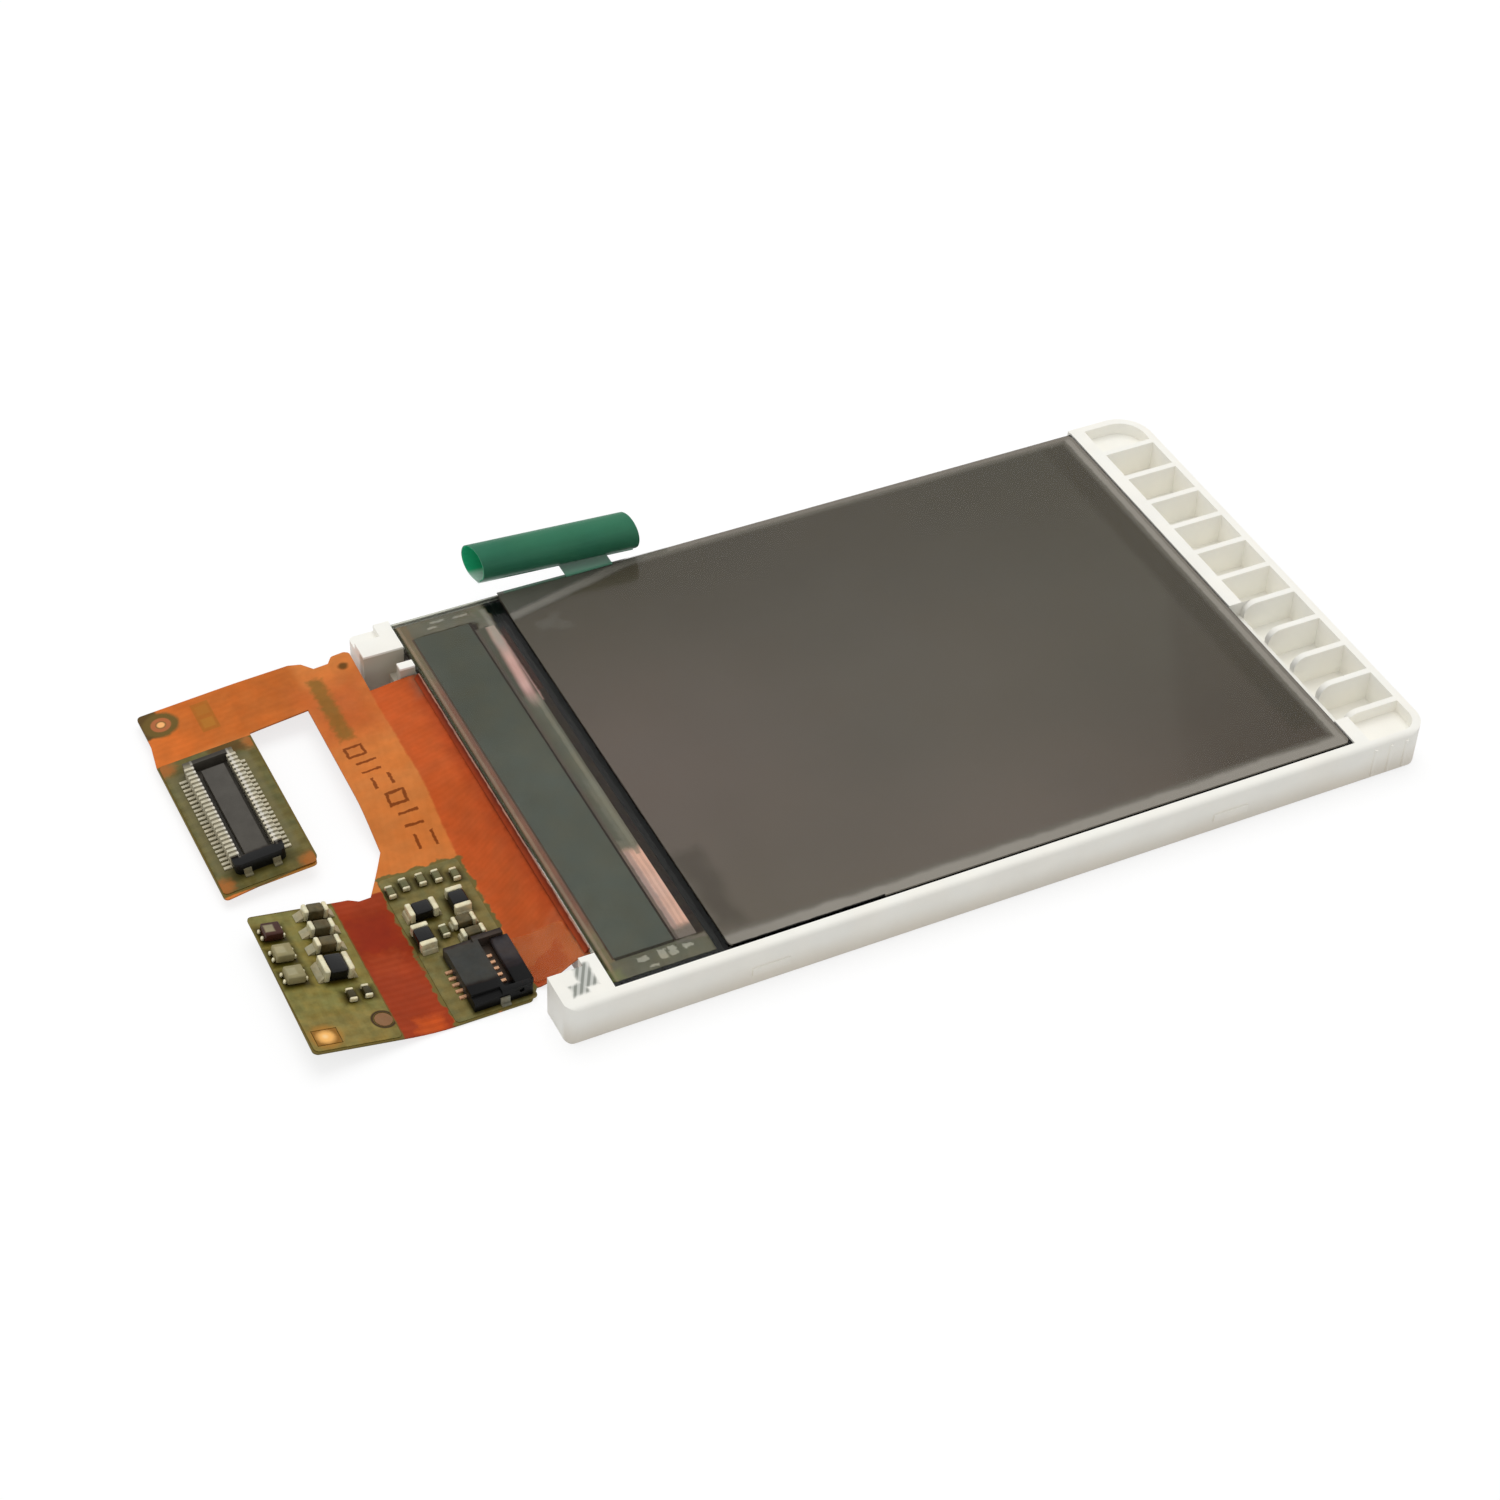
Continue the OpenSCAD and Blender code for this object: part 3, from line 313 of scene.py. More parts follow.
class Finish(Graph):
    """A material whose colour, roughness and relief are built up one effect at a time.

    Colours are given as they look on the piece. The surface's sheen adds a little light to them, and what
    the piece sends back of its own colour can be less than all, so both are taken out again at the end.
    """

    def __init__(self, name, colour, roughness=0.5, specular=0.25, gain=0.95, haze=0.0, **shader):
        self.material = bpy.data.materials.new(name)
        self.material.use_nodes = True
        super().__init__(self.material.node_tree)
        self.shader = self.tree.nodes["Principled BSDF"]
        self.shader.inputs["Specular IOR Level"].default_value = specular
        for socket, value in shader.items():
            self.shader.inputs[socket.replace("_", " ")].default_value = value
        self.colour = tint(*colour)
        self.sheen = SHEEN * specular + haze
        self.gain = gain
        self.roughness = roughness
        self.heights = []
        self.here = self.use(DATUM_PLACE).outputs

    def lay(self, mask, colour, share=1.0):
        """Paints a colour where the mask is, and gives back the mask as it was laid."""
        if share != 1.0:
            mask = self.calc("MULTIPLY", mask, share)
        self.colour = self.mix(mask, self.colour, tint(*colour))
        return mask

    def above(self, height, soft=0.1):
        return self.spread(self.here["Z"], height - soft, height)

    def area(self, x, y, soft=0.1, waver=0.0, waver_scale=2.0):
        values = {"Low X": x[0], "High X": x[1], "Low Y": y[0], "High Y": y[1], "Soft": soft, "Waver": waver,
                  "Waver Scale": waver_scale}
        return self.use(PATCH, values).outputs["Mask"]

    def patch(self, x, y, colour, soft=0.1, waver=0.0, share=1.0, waver_scale=2.0):
        return self.lay(self.area(x, y, soft, waver, waver_scale), colour, share)

    def spot(self, x, y, colour, width, radius=0.0, soft=0.1, waver=0.0, share=1.0):
        values = {"X": x, "Y": y, "Radius": radius, "Width": width, "Soft": soft, "Waver": waver}
        self.lay(self.use(SPOT, values).outputs["Mask"], colour, share)

    def halos(self, boxes, colour, reach, share):
        """Shade round the feet of small parts."""
        masks = []
        for x0, x1, y0, y1 in boxes:
            values = {"Low X": x0, "High X": x1, "Low Y": y0, "High Y": y1, "Reach": reach}
            masks.append(self.use(HALO, values).outputs["Mask"])
        total = masks[0]
        for mask in masks[1:]:
            total = self.calc("MAXIMUM", total, mask)
        self.lay(total, colour, share)

    def slant(self, start, end, waver=0.0):
        """Distance to the left of the line from start to end."""
        angle = math.atan2(end[1] - start[1], end[0] - start[0])
        values = {"X": start[0], "Y": start[1], "Angle": angle, "Waver": waver}
        return self.use(SLANT, values).outputs["Distance"]

    def tracks(self, area, pitch, share, angle, colour, strength, waver=0.2):
        values = {"Pitch": pitch, "Share": share, "Angle": math.radians(angle), "Waver": waver}
        lines = self.use(TRACKS, values).outputs["Mask"]
        self.lay(self.calc("MULTIPLY", lines, area), colour, strength)

    def drift(self, x_stops, y_stops, rows):
        """The colour eases between three rows of three colours, the near row first."""
        across = [self.spread(self.here["X"], x_stops[step], x_stops[step + 1]) for step in (0, 1)]
        along = [self.spread(self.here["Y"], y_stops[step], y_stops[step + 1]) for step in (0, 1)]
        mixed = []
        for row in rows:
            left, middle, right = (tint(*colour) for colour in row)
            mixed.append(self.mix(across[1], self.mix(across[0], left, middle), right))
        self.colour = self.mix(along[1], self.mix(along[0], mixed[0], mixed[1]), mixed[2])

    def mottle(self, scale, amount, warmth=0.0):
        values = {"Colour": self.colour, "Scale": scale, "Amount": amount, "Warmth": warmth}
        self.colour = self.use(MOTTLE, values).outputs["Colour"]

    def grain(self, scale, depth, x=1.0, y=1.0, z=1.0, gloss=0.0):
        """Relief of a depth in millimetres, which can also make the high places rougher."""
        values = {"Scale": scale, "Stretch X": x, "Stretch Y": y, "Stretch Z": z}
        outputs = self.use(GRAIN, values).outputs
        self.heights.append(self.calc("MULTIPLY", outputs["Height"], depth * MM))
        if gloss:
            self.roughness = self.calc("MULTIPLY_ADD", outputs["Mask"], gloss, self.roughness)

    def specks(self, spacing, size, colour, share=0.3, strength=1.0):
        mask = self.use(SPECKS, {"Spacing": spacing, "Size": size, "Share": share}).outputs["Mask"]
        self.lay(mask, colour, strength)

    def done(self):
        scale = (1 / self.gain,) * 3
        offset = (-self.sheen / self.gain,) * 3
        values = {0: self.colour, 1: scale, 2: offset}
        own = self.add("ShaderNodeVectorMath", values, operation="MULTIPLY_ADD")
        least = (0.003, 0.003, 0.003)
        own = self.add("ShaderNodeVectorMath", {0: own.outputs["Vector"], 1: least}, operation="MAXIMUM")
        self.feed(self.shader.inputs["Base Color"], own.outputs["Vector"])
        self.feed(self.shader.inputs["Roughness"], self.roughness)
        if self.heights:
            total = self.heights[0]
            for height in self.heights[1:]:
                total = self.calc("ADD", total, height)
            bump = self.add("ShaderNodeBump", {"Height": total, "Strength": 1.0, "Distance": 1.0})
            self.feed(self.shader.inputs["Normal"], bump.outputs["Normal"])
        return self.material


# ---- Meshes ----
def add_piece(name, mesh, material, body="module", stands_for=()):
    """A finished piece of the module, which rides on its body and can stand for CAD pieces."""
    piece = bpy.data.objects.new(name, mesh)
    bpy.context.scene.collection.objects.link(piece)
    mesh.materials.clear()
    mesh.materials.append(material)
    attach(piece, body)
    if stands_for:
        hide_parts(*stands_for)


def shade(mesh, angle):
    """Smooth shading that stays crisp at edges sharper than the angle."""
    for name in ("custom_normal", "sharp_face", "sharp_edge"):
        if name in mesh.attributes:
            mesh.attributes.remove(mesh.attributes[name])
    for face in mesh.polygons:
        face.use_smooth = True
    mesh.set_sharp_from_angle(angle=math.radians(angle))


def merged_shape(node):
    shape = bmesh.new()
    shape.from_mesh(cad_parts[node].data)
    bmesh.ops.remove_doubles(shape, verts=shape.verts, dist=MERGE)
    return shape


def finished(node, shape, angle, material, body="module"):
    """The worked shape becomes a piece that stands for its CAD piece."""
    mesh = bpy.data.meshes.new(node + "_finished")
    shape.to_mesh(mesh)
    shape.free()
    shade(mesh, angle)
    add_piece(node + "_finished", mesh, material, body, (node,))


def smoothed(node, material):
    """A copy of a CAD piece whose gentle bends are shaded smoothly."""
    finished(node, merged_shape(node), BENT_CREASE, material)


def softened(node, material, width, segments=2, body="module"):
    """A copy of a CAD piece whose sharp edges are rounded."""
    shape = merged_shape(node)
    flat = math.radians(JOIN_BELOW)
    bmesh.ops.dissolve_limit(shape, angle_limit=flat, verts=shape.verts, edges=shape.edges)
    sharp = [edge for edge in shape.edges
             if len(edge.link_faces) == 2 and edge.calc_face_angle() > math.radians(ROUND_FROM)]
    bmesh.ops.bevel(shape, geom=sharp, offset=width * MM, offset_type="OFFSET", segments=segments,
                    profile=0.5, affect="EDGES", clamp_overlap=True)
    bmesh.ops.triangulate(shape, faces=[face for face in shape.faces if len(face.verts) > 4])
    finished(node, shape, ROUNDED_CREASE, material, body)


def footprints(*nodes):
    """The boxes of the loose parts of some CAD pieces, as two x and two y in millimetres."""
    boxes = []
    for node in nodes:
        shape = merged_shape(node)
        left = set(shape.verts)
        while left:
            island = [left.pop()]
            for vertex in island:
                for edge in vertex.link_edges:
                    other = edge.other_vert(vertex)
                    if other in left:
                        left.discard(other)
                        island.append(other)
            xs = [(vertex.co.x - DATUM.x) / MM for vertex in island]
            ys = [(vertex.co.y - DATUM.y) / MM for vertex in island]
            boxes.append((min(xs), max(xs), min(ys), max(ys)))
        shape.free()
    return boxes


def sheet(name, rectangles, z, material):
    """A thin painted layer of level rectangles, each given as two x and two y in millimetres."""
    points = []
    for x0, x1, y0, y1 in rectangles:
        for x, y in ((x0, y0), (x1, y0), (x1, y1), (x0, y1)):
            points.append(DATUM + Vector((x, y, z)) * MM)
    mesh = bpy.data.meshes.new(name)
    mesh.from_pydata(points, [], [tuple(range(4 * i, 4 * i + 4)) for i in range(len(rectangles))])
    add_piece(name, mesh, material)


def dress(node, material):
    """A CAD piece that keeps its shape gets its finish."""
    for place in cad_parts[node].material_slots:
        place.material = material


# ---- Finishes ----
def plain(name, colour, roughness, scale=2.0, amount=0.06, depth=0.003, **shader):
    finish = Finish(name, colour, roughness, **shader)
    finish.mottle(scale, amount, amount / 4)
    finish.grain(12, depth)
    return finish.done()


def frame_white():
    finish = Finish("frame white", (249, 247, 239), 0.45, gain=0.93)
    top = finish.above(2.7, 0.3)
    # A grey mark of strokes on the top of the near end block
    grey_mark = finish.calc("MAXIMUM", finish.area((-1.8, -0.8), (0.6, 2.5), 0.3, 0.2, 1.0),
                         finish.area((-2.6, -1.6), (0.2, 1.1), 0.3, 0.2, 1.0))
    grey_mark = finish.calc("MULTIPLY", grey_mark, top)
    finish.lay(grey_mark, (184, 186, 180), 0.8)
    finish.tracks(grey_mark, 0.36, 0.5, 62, (116, 120, 112), 0.7, 0.12)
    # Painted shade: the near side is darker and warmer towards its foot
    foot = finish.spread(finish.here["Z"], 2.2, 0.2)
    near_side = finish.spread(finish.here["Y"], 0.2, -0.3)
    finish.lay(finish.calc("MULTIPLY", foot, near_side), (228, 221, 208), 0.9)
    # Painted shade on the lower faces of the far end block
    far_block_shade = finish.area((-3.3, 0.1), (31.0, 34.2), 0.5, 0.3)
    low = finish.calc("SUBTRACT", 1.0, finish.above(2.9, 0.1))
    finish.lay(finish.calc("MULTIPLY", far_block_shade, low), (178, 170, 152), 0.85)
    finish.mottle(0.35, 0.02, 0.006)
    finish.grain(9, 0.004, gloss=0.12)
    finish.grain(0.8, 0.015)
    return finish.done()


def screen_grey():
    """The dark polariser, lighter along its margins, over the switched-off display."""
    finish = Finish("screen grey", (96, 93, 84), 0.14, specular=0.25, gain=0.9)
    # Painted reflection: the screen is lighter at its near left and darker far and to the right
    finish.drift((7.6, 28, 52), (0, 15, 36),
                 [((102, 96, 87), (105, 97, 89), (84, 77, 69)), ((104, 95, 88), (97, 92, 84), (90, 86, 77)),
                  ((84, 80, 71), (84, 80, 72), (82, 79, 70))])
    shade_side = finish.calc("MULTIPLY", finish.spread(finish.slant((50, 21), (40, 3)), 0.0, 1.5),
                             finish.spread(finish.here["X"], 38, 45))
    finish.lay(shade_side, (78, 72, 64), 0.35)
    finish.patch((7.6, 9.3), (1.8, 8.5), (72, 67, 60), 1.2, 0.8, 0.5, 0.6)
    finish.patch((49.2, 51.2), (2.5, 35.0), (74, 70, 61), 0.9, 0.2, 0.7)
    finish.mottle(0.12, 0.025, 0.008)
    inside = finish.area((7.0, 51.0), (1.25, 35.15), 0.5, 0.06)
    edge = finish.calc("SUBTRACT", 1.0, inside)
    finish.lay(edge, (112, 108, 99), 0.85)
    fade = finish.spread(finish.here["X"], 7.0, 14.0, 0.75, 1.0)
    near_margin = finish.calc("MULTIPLY", finish.area((7.0, 52.2), (-0.2, 0.95), 0.45, 0.25, 0.5), fade)
    finish.lay(near_margin, (148, 143, 134), 0.95)
    finish.patch((51.3, 51.75), (-0.2, 36.2), (147, 142, 133), 0.2, 0.08, 0.95)
    finish.patch((51.75, 52.4), (-0.2, 36.2), (128, 122, 113), 0.15, 0.08, 0.95)
    finish.patch((20.0, 52.2), (35.45, 36.2), (128, 122, 113), 0.25, 0.1, 0.9)
    finish.patch((7.0, 18.0), (-0.2, 0.22), (34, 32, 26), 0.1, 0.05)
    finish.specks(3.0, 0.06, (150, 146, 136), 0.12, 0.5)
    return finish.done()


def ledge_border(finish):
    """The print and the dark edge along the glass's flex end, seen through the glass, with a painted
    highlight on its bevel and painted shade beside the cover plate.
    """
    finish.patch((0, 1.1), (-1, 37), (126, 86, 72), 0.1)
    finish.patch((0, 1.1), (-1, 5.0), (113, 112, 86), 3.0, 0.2)
    finish.patch((0, 1.1), (30, 37), (112, 108, 88), 3.0, 0.2)
    finish.patch((0, 0.34), (-1, 37), (60, 58, 32), 0.12)
    # Painted highlight along the glass's bevelled edge
    finish.patch((0.4, 0.58), (-1, 37), (146, 124, 105), 0.1, 0.03, 0.7)
    # Painted shade along the side of the cover plate
    finish.patch((0.86, 1.2), (2.4, 34.4), (84, 70, 62), 0.1)


def ledge_wiring():
    """Wiring on the glass around the driver chip, seen through the glass, with a painted highlight at its
    near corner and painted reflections beside the chip.
    """
    finish = Finish("ledge wiring", (56, 49, 42), 0.5, **UNDER_GLASS)
    ledge_border(finish)
    finish.patch((0.6, 6.9), (0.5, 2.3), (103, 99, 87), 0.3, 0.15)
    # Painted highlight at the near corner of the glass
    finish.patch((0.2, 1.0), (0.7, 1.6), (118, 120, 84), 0.6, 0.3, 0.6)
    finish.patch((5.0, 6.9), (2.0, 2.3), (118, 108, 103), 0.3, 0.2, 0.7)
    for x, y in (((2.2, 2.9), (1.55, 1.95)), ((2.7, 3.3), (0.9, 1.1)), ((3.6, 4.1), (1.25, 2.0)),
                 ((4.25, 4.75), (1.3, 2.05)), ((5.2, 5.8), (1.5, 1.9))):
        finish.patch(x, y, (165, 158, 147), 0.12, 0.2, 0.9, 4.0)
    finish.patch((1.0, 6.6), (34.5, 37), (104, 99, 88), 0.2, 0.15)
    for x, y in (((2.6, 3.6), (35.4, 35.6)), ((2.2, 2.9), (34.9, 35.1)), ((4.2, 5.2), (35.3, 35.5))):
        finish.patch(x, y, (150, 143, 135), 0.1, 0.12, 0.9, 4.0)
    finish.patch((5.4, 6.45), (33.6, 36.2), (118, 112, 103), 0.5, 0.3, 0.8)
    # Painted reflections of the flex: pink and grey streaks beside the chip
    finish.patch((6.1, 6.5), (25.5, 32.5), (172, 136, 133), 0.18, 0.06, 0.9)
    finish.patch((6.1, 6.5), (32.5, 35.4), (142, 134, 126), 0.3, 0.06, 0.85)
    finish.patch((6.55, 6.95), (26.5, 33.0), (72, 50, 47), 0.25, 0.1, 0.6)
    finish.patch((6.55, 7.8), (33.4, 36.4), (38, 38, 30), 0.5, 0.3)
    finish.patch((-1, 8), (-1, 0.7), (24, 23, 18), 0.1, 0.04)
    finish.mottle(0.8, 0.1, 0.03)
    return finish.done()


def chip_mirror():
    """The long bare driver chip, painted with the flex and the dark room that it would mirror."""
    finish = Finish("chip mirror", (112, 107, 97), 0.3, **UNDER_GLASS)
    whole_width = (4, 7)
    flex_side = (4, 5.6)
    near_part = (3.2, 10.5)
    finish.patch(whole_width, near_part, (214, 170, 157), 0.8, 0.2)
    finish.patch(flex_side, near_part, (156, 134, 131), 0.25, 0.1, 0.85)
    finish.patch(whole_width, (17.5, 25.2), (98, 95, 86), 2.0)
    finish.patch(whole_width, (2.0, 3.3), (120, 108, 103), 0.8, 0.3)
    finish.patch(flex_side, (11.5, 26.0), (88, 86, 77), 0.35, 0.1, 0.8)
    finish.patch((5.95, 6.25), (10.0, 26.5), (128, 122, 110), 0.15, 0.1, 0.7)
    finish.patch(whole_width, (26.2, 34.2), (80, 68, 61), 0.6, 0.3)
    streak = finish.slant((6.3, 34.4), (5.9, 25.0), 0.1)
    left_of = finish.spread(streak, 0.45, 0.05)
    right_of = finish.spread(streak, -0.62, -0.15)
    far_end = finish.spread(finish.here["Y"], 24.6, 27.5)
    streak = finish.calc("MULTIPLY", finish.calc("MULTIPLY", left_of, right_of), far_end)
    beside = finish.calc("SUBTRACT", 1.0, right_of)
    finish.lay(finish.calc("MULTIPLY", beside, far_end), (84, 83, 75), 0.85)
    finish.lay(streak, (200, 158, 155))
    greyed = finish.spread(finish.here["Y"], 29.5, 32.5)
    finish.lay(finish.calc("MULTIPLY", streak, greyed), (156, 146, 139), 0.9)
    finish.tracks(finish.area(whole_width, near_part, 0.3), 0.35, 0.5, 90, (168, 128, 122), 0.3, 0.2)
    finish.patch((4, 5.25), (2, 35), (92, 82, 76), 0.12, 0.05, 0.8)
    finish.mottle(0.5, 0.07, 0.03)
    return finish.done()


def cover_grey():
    finish = Finish("cover grey", (87, 88, 82), 0.5, **UNDER_GLASS)
    finish.patch((0, 6), (24, 37), (79, 79, 71), 10.0)
    # Painted shade along the near edge of the cover plate
    finish.patch((0, 6), (0, 2.5), (56, 52, 44), 0.12)
    finish.patch((0, 6), (0, 2.25), (105, 103, 88), 0.1)
    finish.mottle(0.4, 0.06, 0.03)
    return finish.done()


def clear_film():
    """The peeled protective film: nearly invisible but for a painted highlight along its crease and the
    lifted corner.
    """
    finish = Finish("clear film", (150, 147, 138), 0.3, specular=0.2)
    # Painted highlight: a light band along the crease
    crease = finish.slant((7.55, 33.0), (20.0, 35.85), 0.12)
    crease_highlight = finish.calc("MULTIPLY", finish.spread(crease, -0.3, 0.2), finish.spread(crease, 1.0, 0.35))
    fade = finish.spread(finish.here["X"], 20.5, 10.0, 0.25, 1.0)
    beyond = finish.spread(crease, 0.5, 0.8)
    finish.lay(beyond, (92, 92, 84))
    blotch = finish.area((8.9, 10.6), (31.2, 32.4), 0.9, 1.2, 0.9)
    seen = finish.calc("MULTIPLY", crease_highlight, fade)
    seen = finish.calc("MAXIMUM", finish.calc("MULTIPLY", seen, 0.45), finish.calc("MULTIPLY", beyond, 0.75))
    seen = finish.calc("MAXIMUM", seen, finish.calc("MULTIPLY", blotch, 0.13))
    green = finish.area((8.0, 13.4), (35.6, 36.1), 0.15, 0.1)
    finish.lay(green, (70, 112, 92), 0.8)
    seen = finish.calc("MAXIMUM", seen, finish.calc("MULTIPLY", green, 0.6))
    finish.mottle(0.5, 0.05)
    finish.feed(finish.shader.inputs["Alpha"], finish.calc("MAXIMUM", seen, 0.015))
    return finish.done()


def tab_green():
    """The rolled tape: its inside painted brighter for the light that comes through the tape, thin and pale
    along its lower lip and its neck.
    """
    finish = Finish("tab green", (62, 114, 90), 0.4, specular=0.15, gain=0.85)
    sideways = finish.slant((12.2, 37.46), (22.2, 36.64))
    lifted = finish.calc("SUBTRACT", finish.here["Z"], 4.5)
    reach = finish.calc("SQRT", finish.calc("ADD", finish.calc("MULTIPLY", sideways, sideways),
                                            finish.calc("MULTIPLY", lifted, lifted)))
    # Painted light: the inside of the roll is bright green, as lit through the thin tape
    inside = finish.calc("LESS_THAN", reach, 1.255)
    finish.lay(inside, (52, 178, 128))
    finish.mottle(0.25, 0.08, 0.02)
    finish.grain(2.0, 0.045, x=0.12)
    low = finish.spread(finish.here["Z"], 3.5, 3.2)
    lip = finish.calc("MULTIPLY", low, finish.spread(finish.here["X"], 9.0, 7.5))
    neck = finish.calc("MULTIPLY", low, finish.area((11, 18), (34, 37.2), 0.4, 0.1))
    thin = finish.calc("MAXIMUM", lip, neck)
    finish.lay(lip, (215, 235, 225), 0.9)
    finish.lay(neck, (108, 156, 133), 0.9)
    finish.feed(finish.shader.inputs["Alpha"], finish.calc("MULTIPLY_ADD", thin, -0.2, 0.97))
    return finish.done()


def polyimide_orange():
    """The amber film of the flex circuit, with its copper, its marks and the olive print round the parts."""
    finish = Finish("polyimide orange", (209, 125, 66), 0.45, specular=0.12)
    bar = finish.patch((-19, -7.0), (31.5, 37), (199, 109, 52), 0.8, 0.3, 1.0, 0.8)
    finish.patch((-19, -15.4), (30, 37), (212, 115, 55), 1.0, 0.3)
    finish.patch((-11.6, -7.5), (32.7, 35.9), (190, 104, 50), 0.25, 0.1, 0.8)
    finish.patch((-7.6, -3.0), (28, 33.5), (190, 102, 56), 4.0, 0.5)
    finish.patch((-6.6, -5.6), (28.0, 34.3), (128, 100, 50), 0.5, 0.35, 0.8)
    finish.spot(-3.9, 34.6, (112, 76, 40), 0.32, soft=0.3, waver=0.2)
    limb = finish.area((-8.5, -3.2), (16.5, 31.0), 0.6)
    finish.tracks(limb, 0.45, 0.5, 78, (184, 100, 48), 0.06, 0.5)
    finish.tracks(bar, 0.5, 0.5, 4, (172, 90, 42), 0.1, 0.5)
    root = finish.area((-3.25, 1.0), (3.0, 31.6), 0.2, 0.1)
    finish.lay(root, (196, 94, 51))
    finish.tracks(root, 0.4, 0.5, 3, (166, 72, 36), 0.08, 0.1)
    near_root = finish.area((-3.6, -0.2), (3.0, 7.6), 1.2, 1.2, 0.7)
    finish.lay(near_root, (200, 116, 76), 0.8)
    finish.patch((-3.4, -1.2), (4.2, 6.0), (176, 62, 36), 0.5, 0.6, 0.7)
    finish.patch((-1.0, 1.0), (5.5, 31.0), (160, 66, 38), 1.2, 0.2, 0.6)
    finish.patch((-0.35, 1.0), (5.0, 31.6), (108, 42, 26), 0.5, 0.15, 0.95)
    ledge_border(finish)
    bare = finish.area((-12.15, -8.7), (3.0, 15.6), 0.12, 0.1)
    finish.lay(bare, (158, 67, 43))
    finish.patch((-12.15, -8.7), (9.8, 14.3), (139, 51, 29), 2.2, 0.4, 0.9)
    finish.patch((-11.8, -9.6), (8.7, 10.6), (176, 80, 50), 0.9, 0.6, 0.5)
    finish.patch((-11.0, -9.4), (3.0, 4.6), (206, 92, 46), 0.8, 0.6, 0.8)
    finish.mottle(0.9, 0.05, 0.02)
    finish.tracks(bare, 0.5, 0.5, 2, (140, 52, 30), 0.2, 0.2)
    for x, y in (((-17.7, -12.0), (3.2, 15.6)), ((-17.9, -11.4), (18.5, 31.3))):
        finish.patch(x, y, (112, 98, 56), 0.15, 0.08)
    finish.patch((-8.85, -3.2), (3.2, 16.7), (116, 104, 62), 0.15, 0.5, 1.0, 1.3)
    finish.patch((-18.4, -16.3), (34.0, 37.5), (96, 76, 46), 0.3, 0.2)
    finish.spot(*RING_AT, (112, 92, 52), 1.15, soft=0.35, waver=0.25)
    finish.spot(*RING_AT, (178, 108, 70), 0.16, 0.5, 0.12)
    finish.spot(*RING_AT, (255, 186, 120), 0.26, soft=0.15)
    square = finish.area((-14.1, -12.9), (33.0, 35.8), 0.12)
    finish.lay(square, (160, 104, 44), 0.6)
    finish.patch((-13.9, -13.1), (33.3, 34.2), (182, 118, 52), 0.2)
    finish.patch((-13.9, -13.1), (34.6, 35.5), (178, 112, 50), 0.2)
    # Plain outlines and strokes in a row, where such a flex has a printed code
    for step in range(6):
        x = -6.75 + 0.3 * step
        y = 26.2 - 1.65 * step
        square = finish.area((x, x + 1.3), (y, y + 1.1), 0.08, 0.12, 3.0)
        if step % 3 == 1:
            gap = finish.area((x - 1, x + 3), (y + 0.2, y + 0.9), 0.08, 0.12, 3.0)
        elif step % 3 == 2:
            gap = finish.area((x + 0.2, x + 1.1), (y - 1, y + 3), 0.08, 0.12, 3.0)
        else:
            gap = finish.area((x + 0.2, x + 1.1), (y + 0.2, y + 0.9), 0.08, 0.12, 3.0)
        finish.lay(finish.calc("SUBTRACT", square, gap, clamp=True), (116, 58, 32), 0.85)
    finish.mottle(0.45, 0.05, 0.03)
    finish.grain(6, 0.003)
    return finish.done()


def coverlay_olive():
    finish = Finish("coverlay olive", (133, 124, 73), 0.45, specular=0.2)
    finish.patch((-9, -3), (3, 17), (124, 115, 76), 0.4)
    finish.patch((-18, -11), (18, 32), (104, 98, 64), 0.4)
    finish.patch((-17.7, -11.9), (3.2, 6.2), (138, 122, 72), 1.2, 0.6)
    finish.mottle(1.1, 0.2, 0.08)
    ground = finish.area((-20, 0), (3, 40), 0.1)
    finish.tracks(ground, 0.7, 0.5, 90, (88, 80, 44), 0.12, 0.5)
    finish.tracks(ground, 0.9, 0.5, 0, (156, 148, 96), 0.1, 0.5)
    finish.halos(footprints("capacitor_bodies", "inductor_bodies", "filter_arrays", "resistor_bodies"),
                 (50, 44, 26), 0.6, 0.85)
    finish.halos(footprints("socket_housing"), (40, 34, 24), 0.25, 0.6)
    finish.halos(footprints("connector_housing"), (70, 64, 44), 0.9, 0.6)
    for x, y in ((-17.6, 19.3), (-11.9, 19.0), (-17.5, 30.9), (-11.6, 30.8)):
        finish.spot(x, y, (186, 108, 56), 0.7, soft=0.8, waver=0.7, share=0.65)
    finish.patch((-14.5, -12.2), (30.3, 32), (96, 72, 44), 0.6, 0.6, 0.8)
    for x in ((-17.55, -16.2), (-13.2, -12.15)):
        finish.patch(x, (20.4, 30.0), (132, 125, 96), 0.4, 0.1, 0.4)
    finish.spot(-12.65, 5.15, (72, 58, 40), 0.08, 0.68, 0.1)
    finish.spot(*GOLD_PAD_AT, (168, 124, 64), 0.95, soft=0.5, waver=0.2)
    finish.grain(8, 0.006)
    return finish.done()


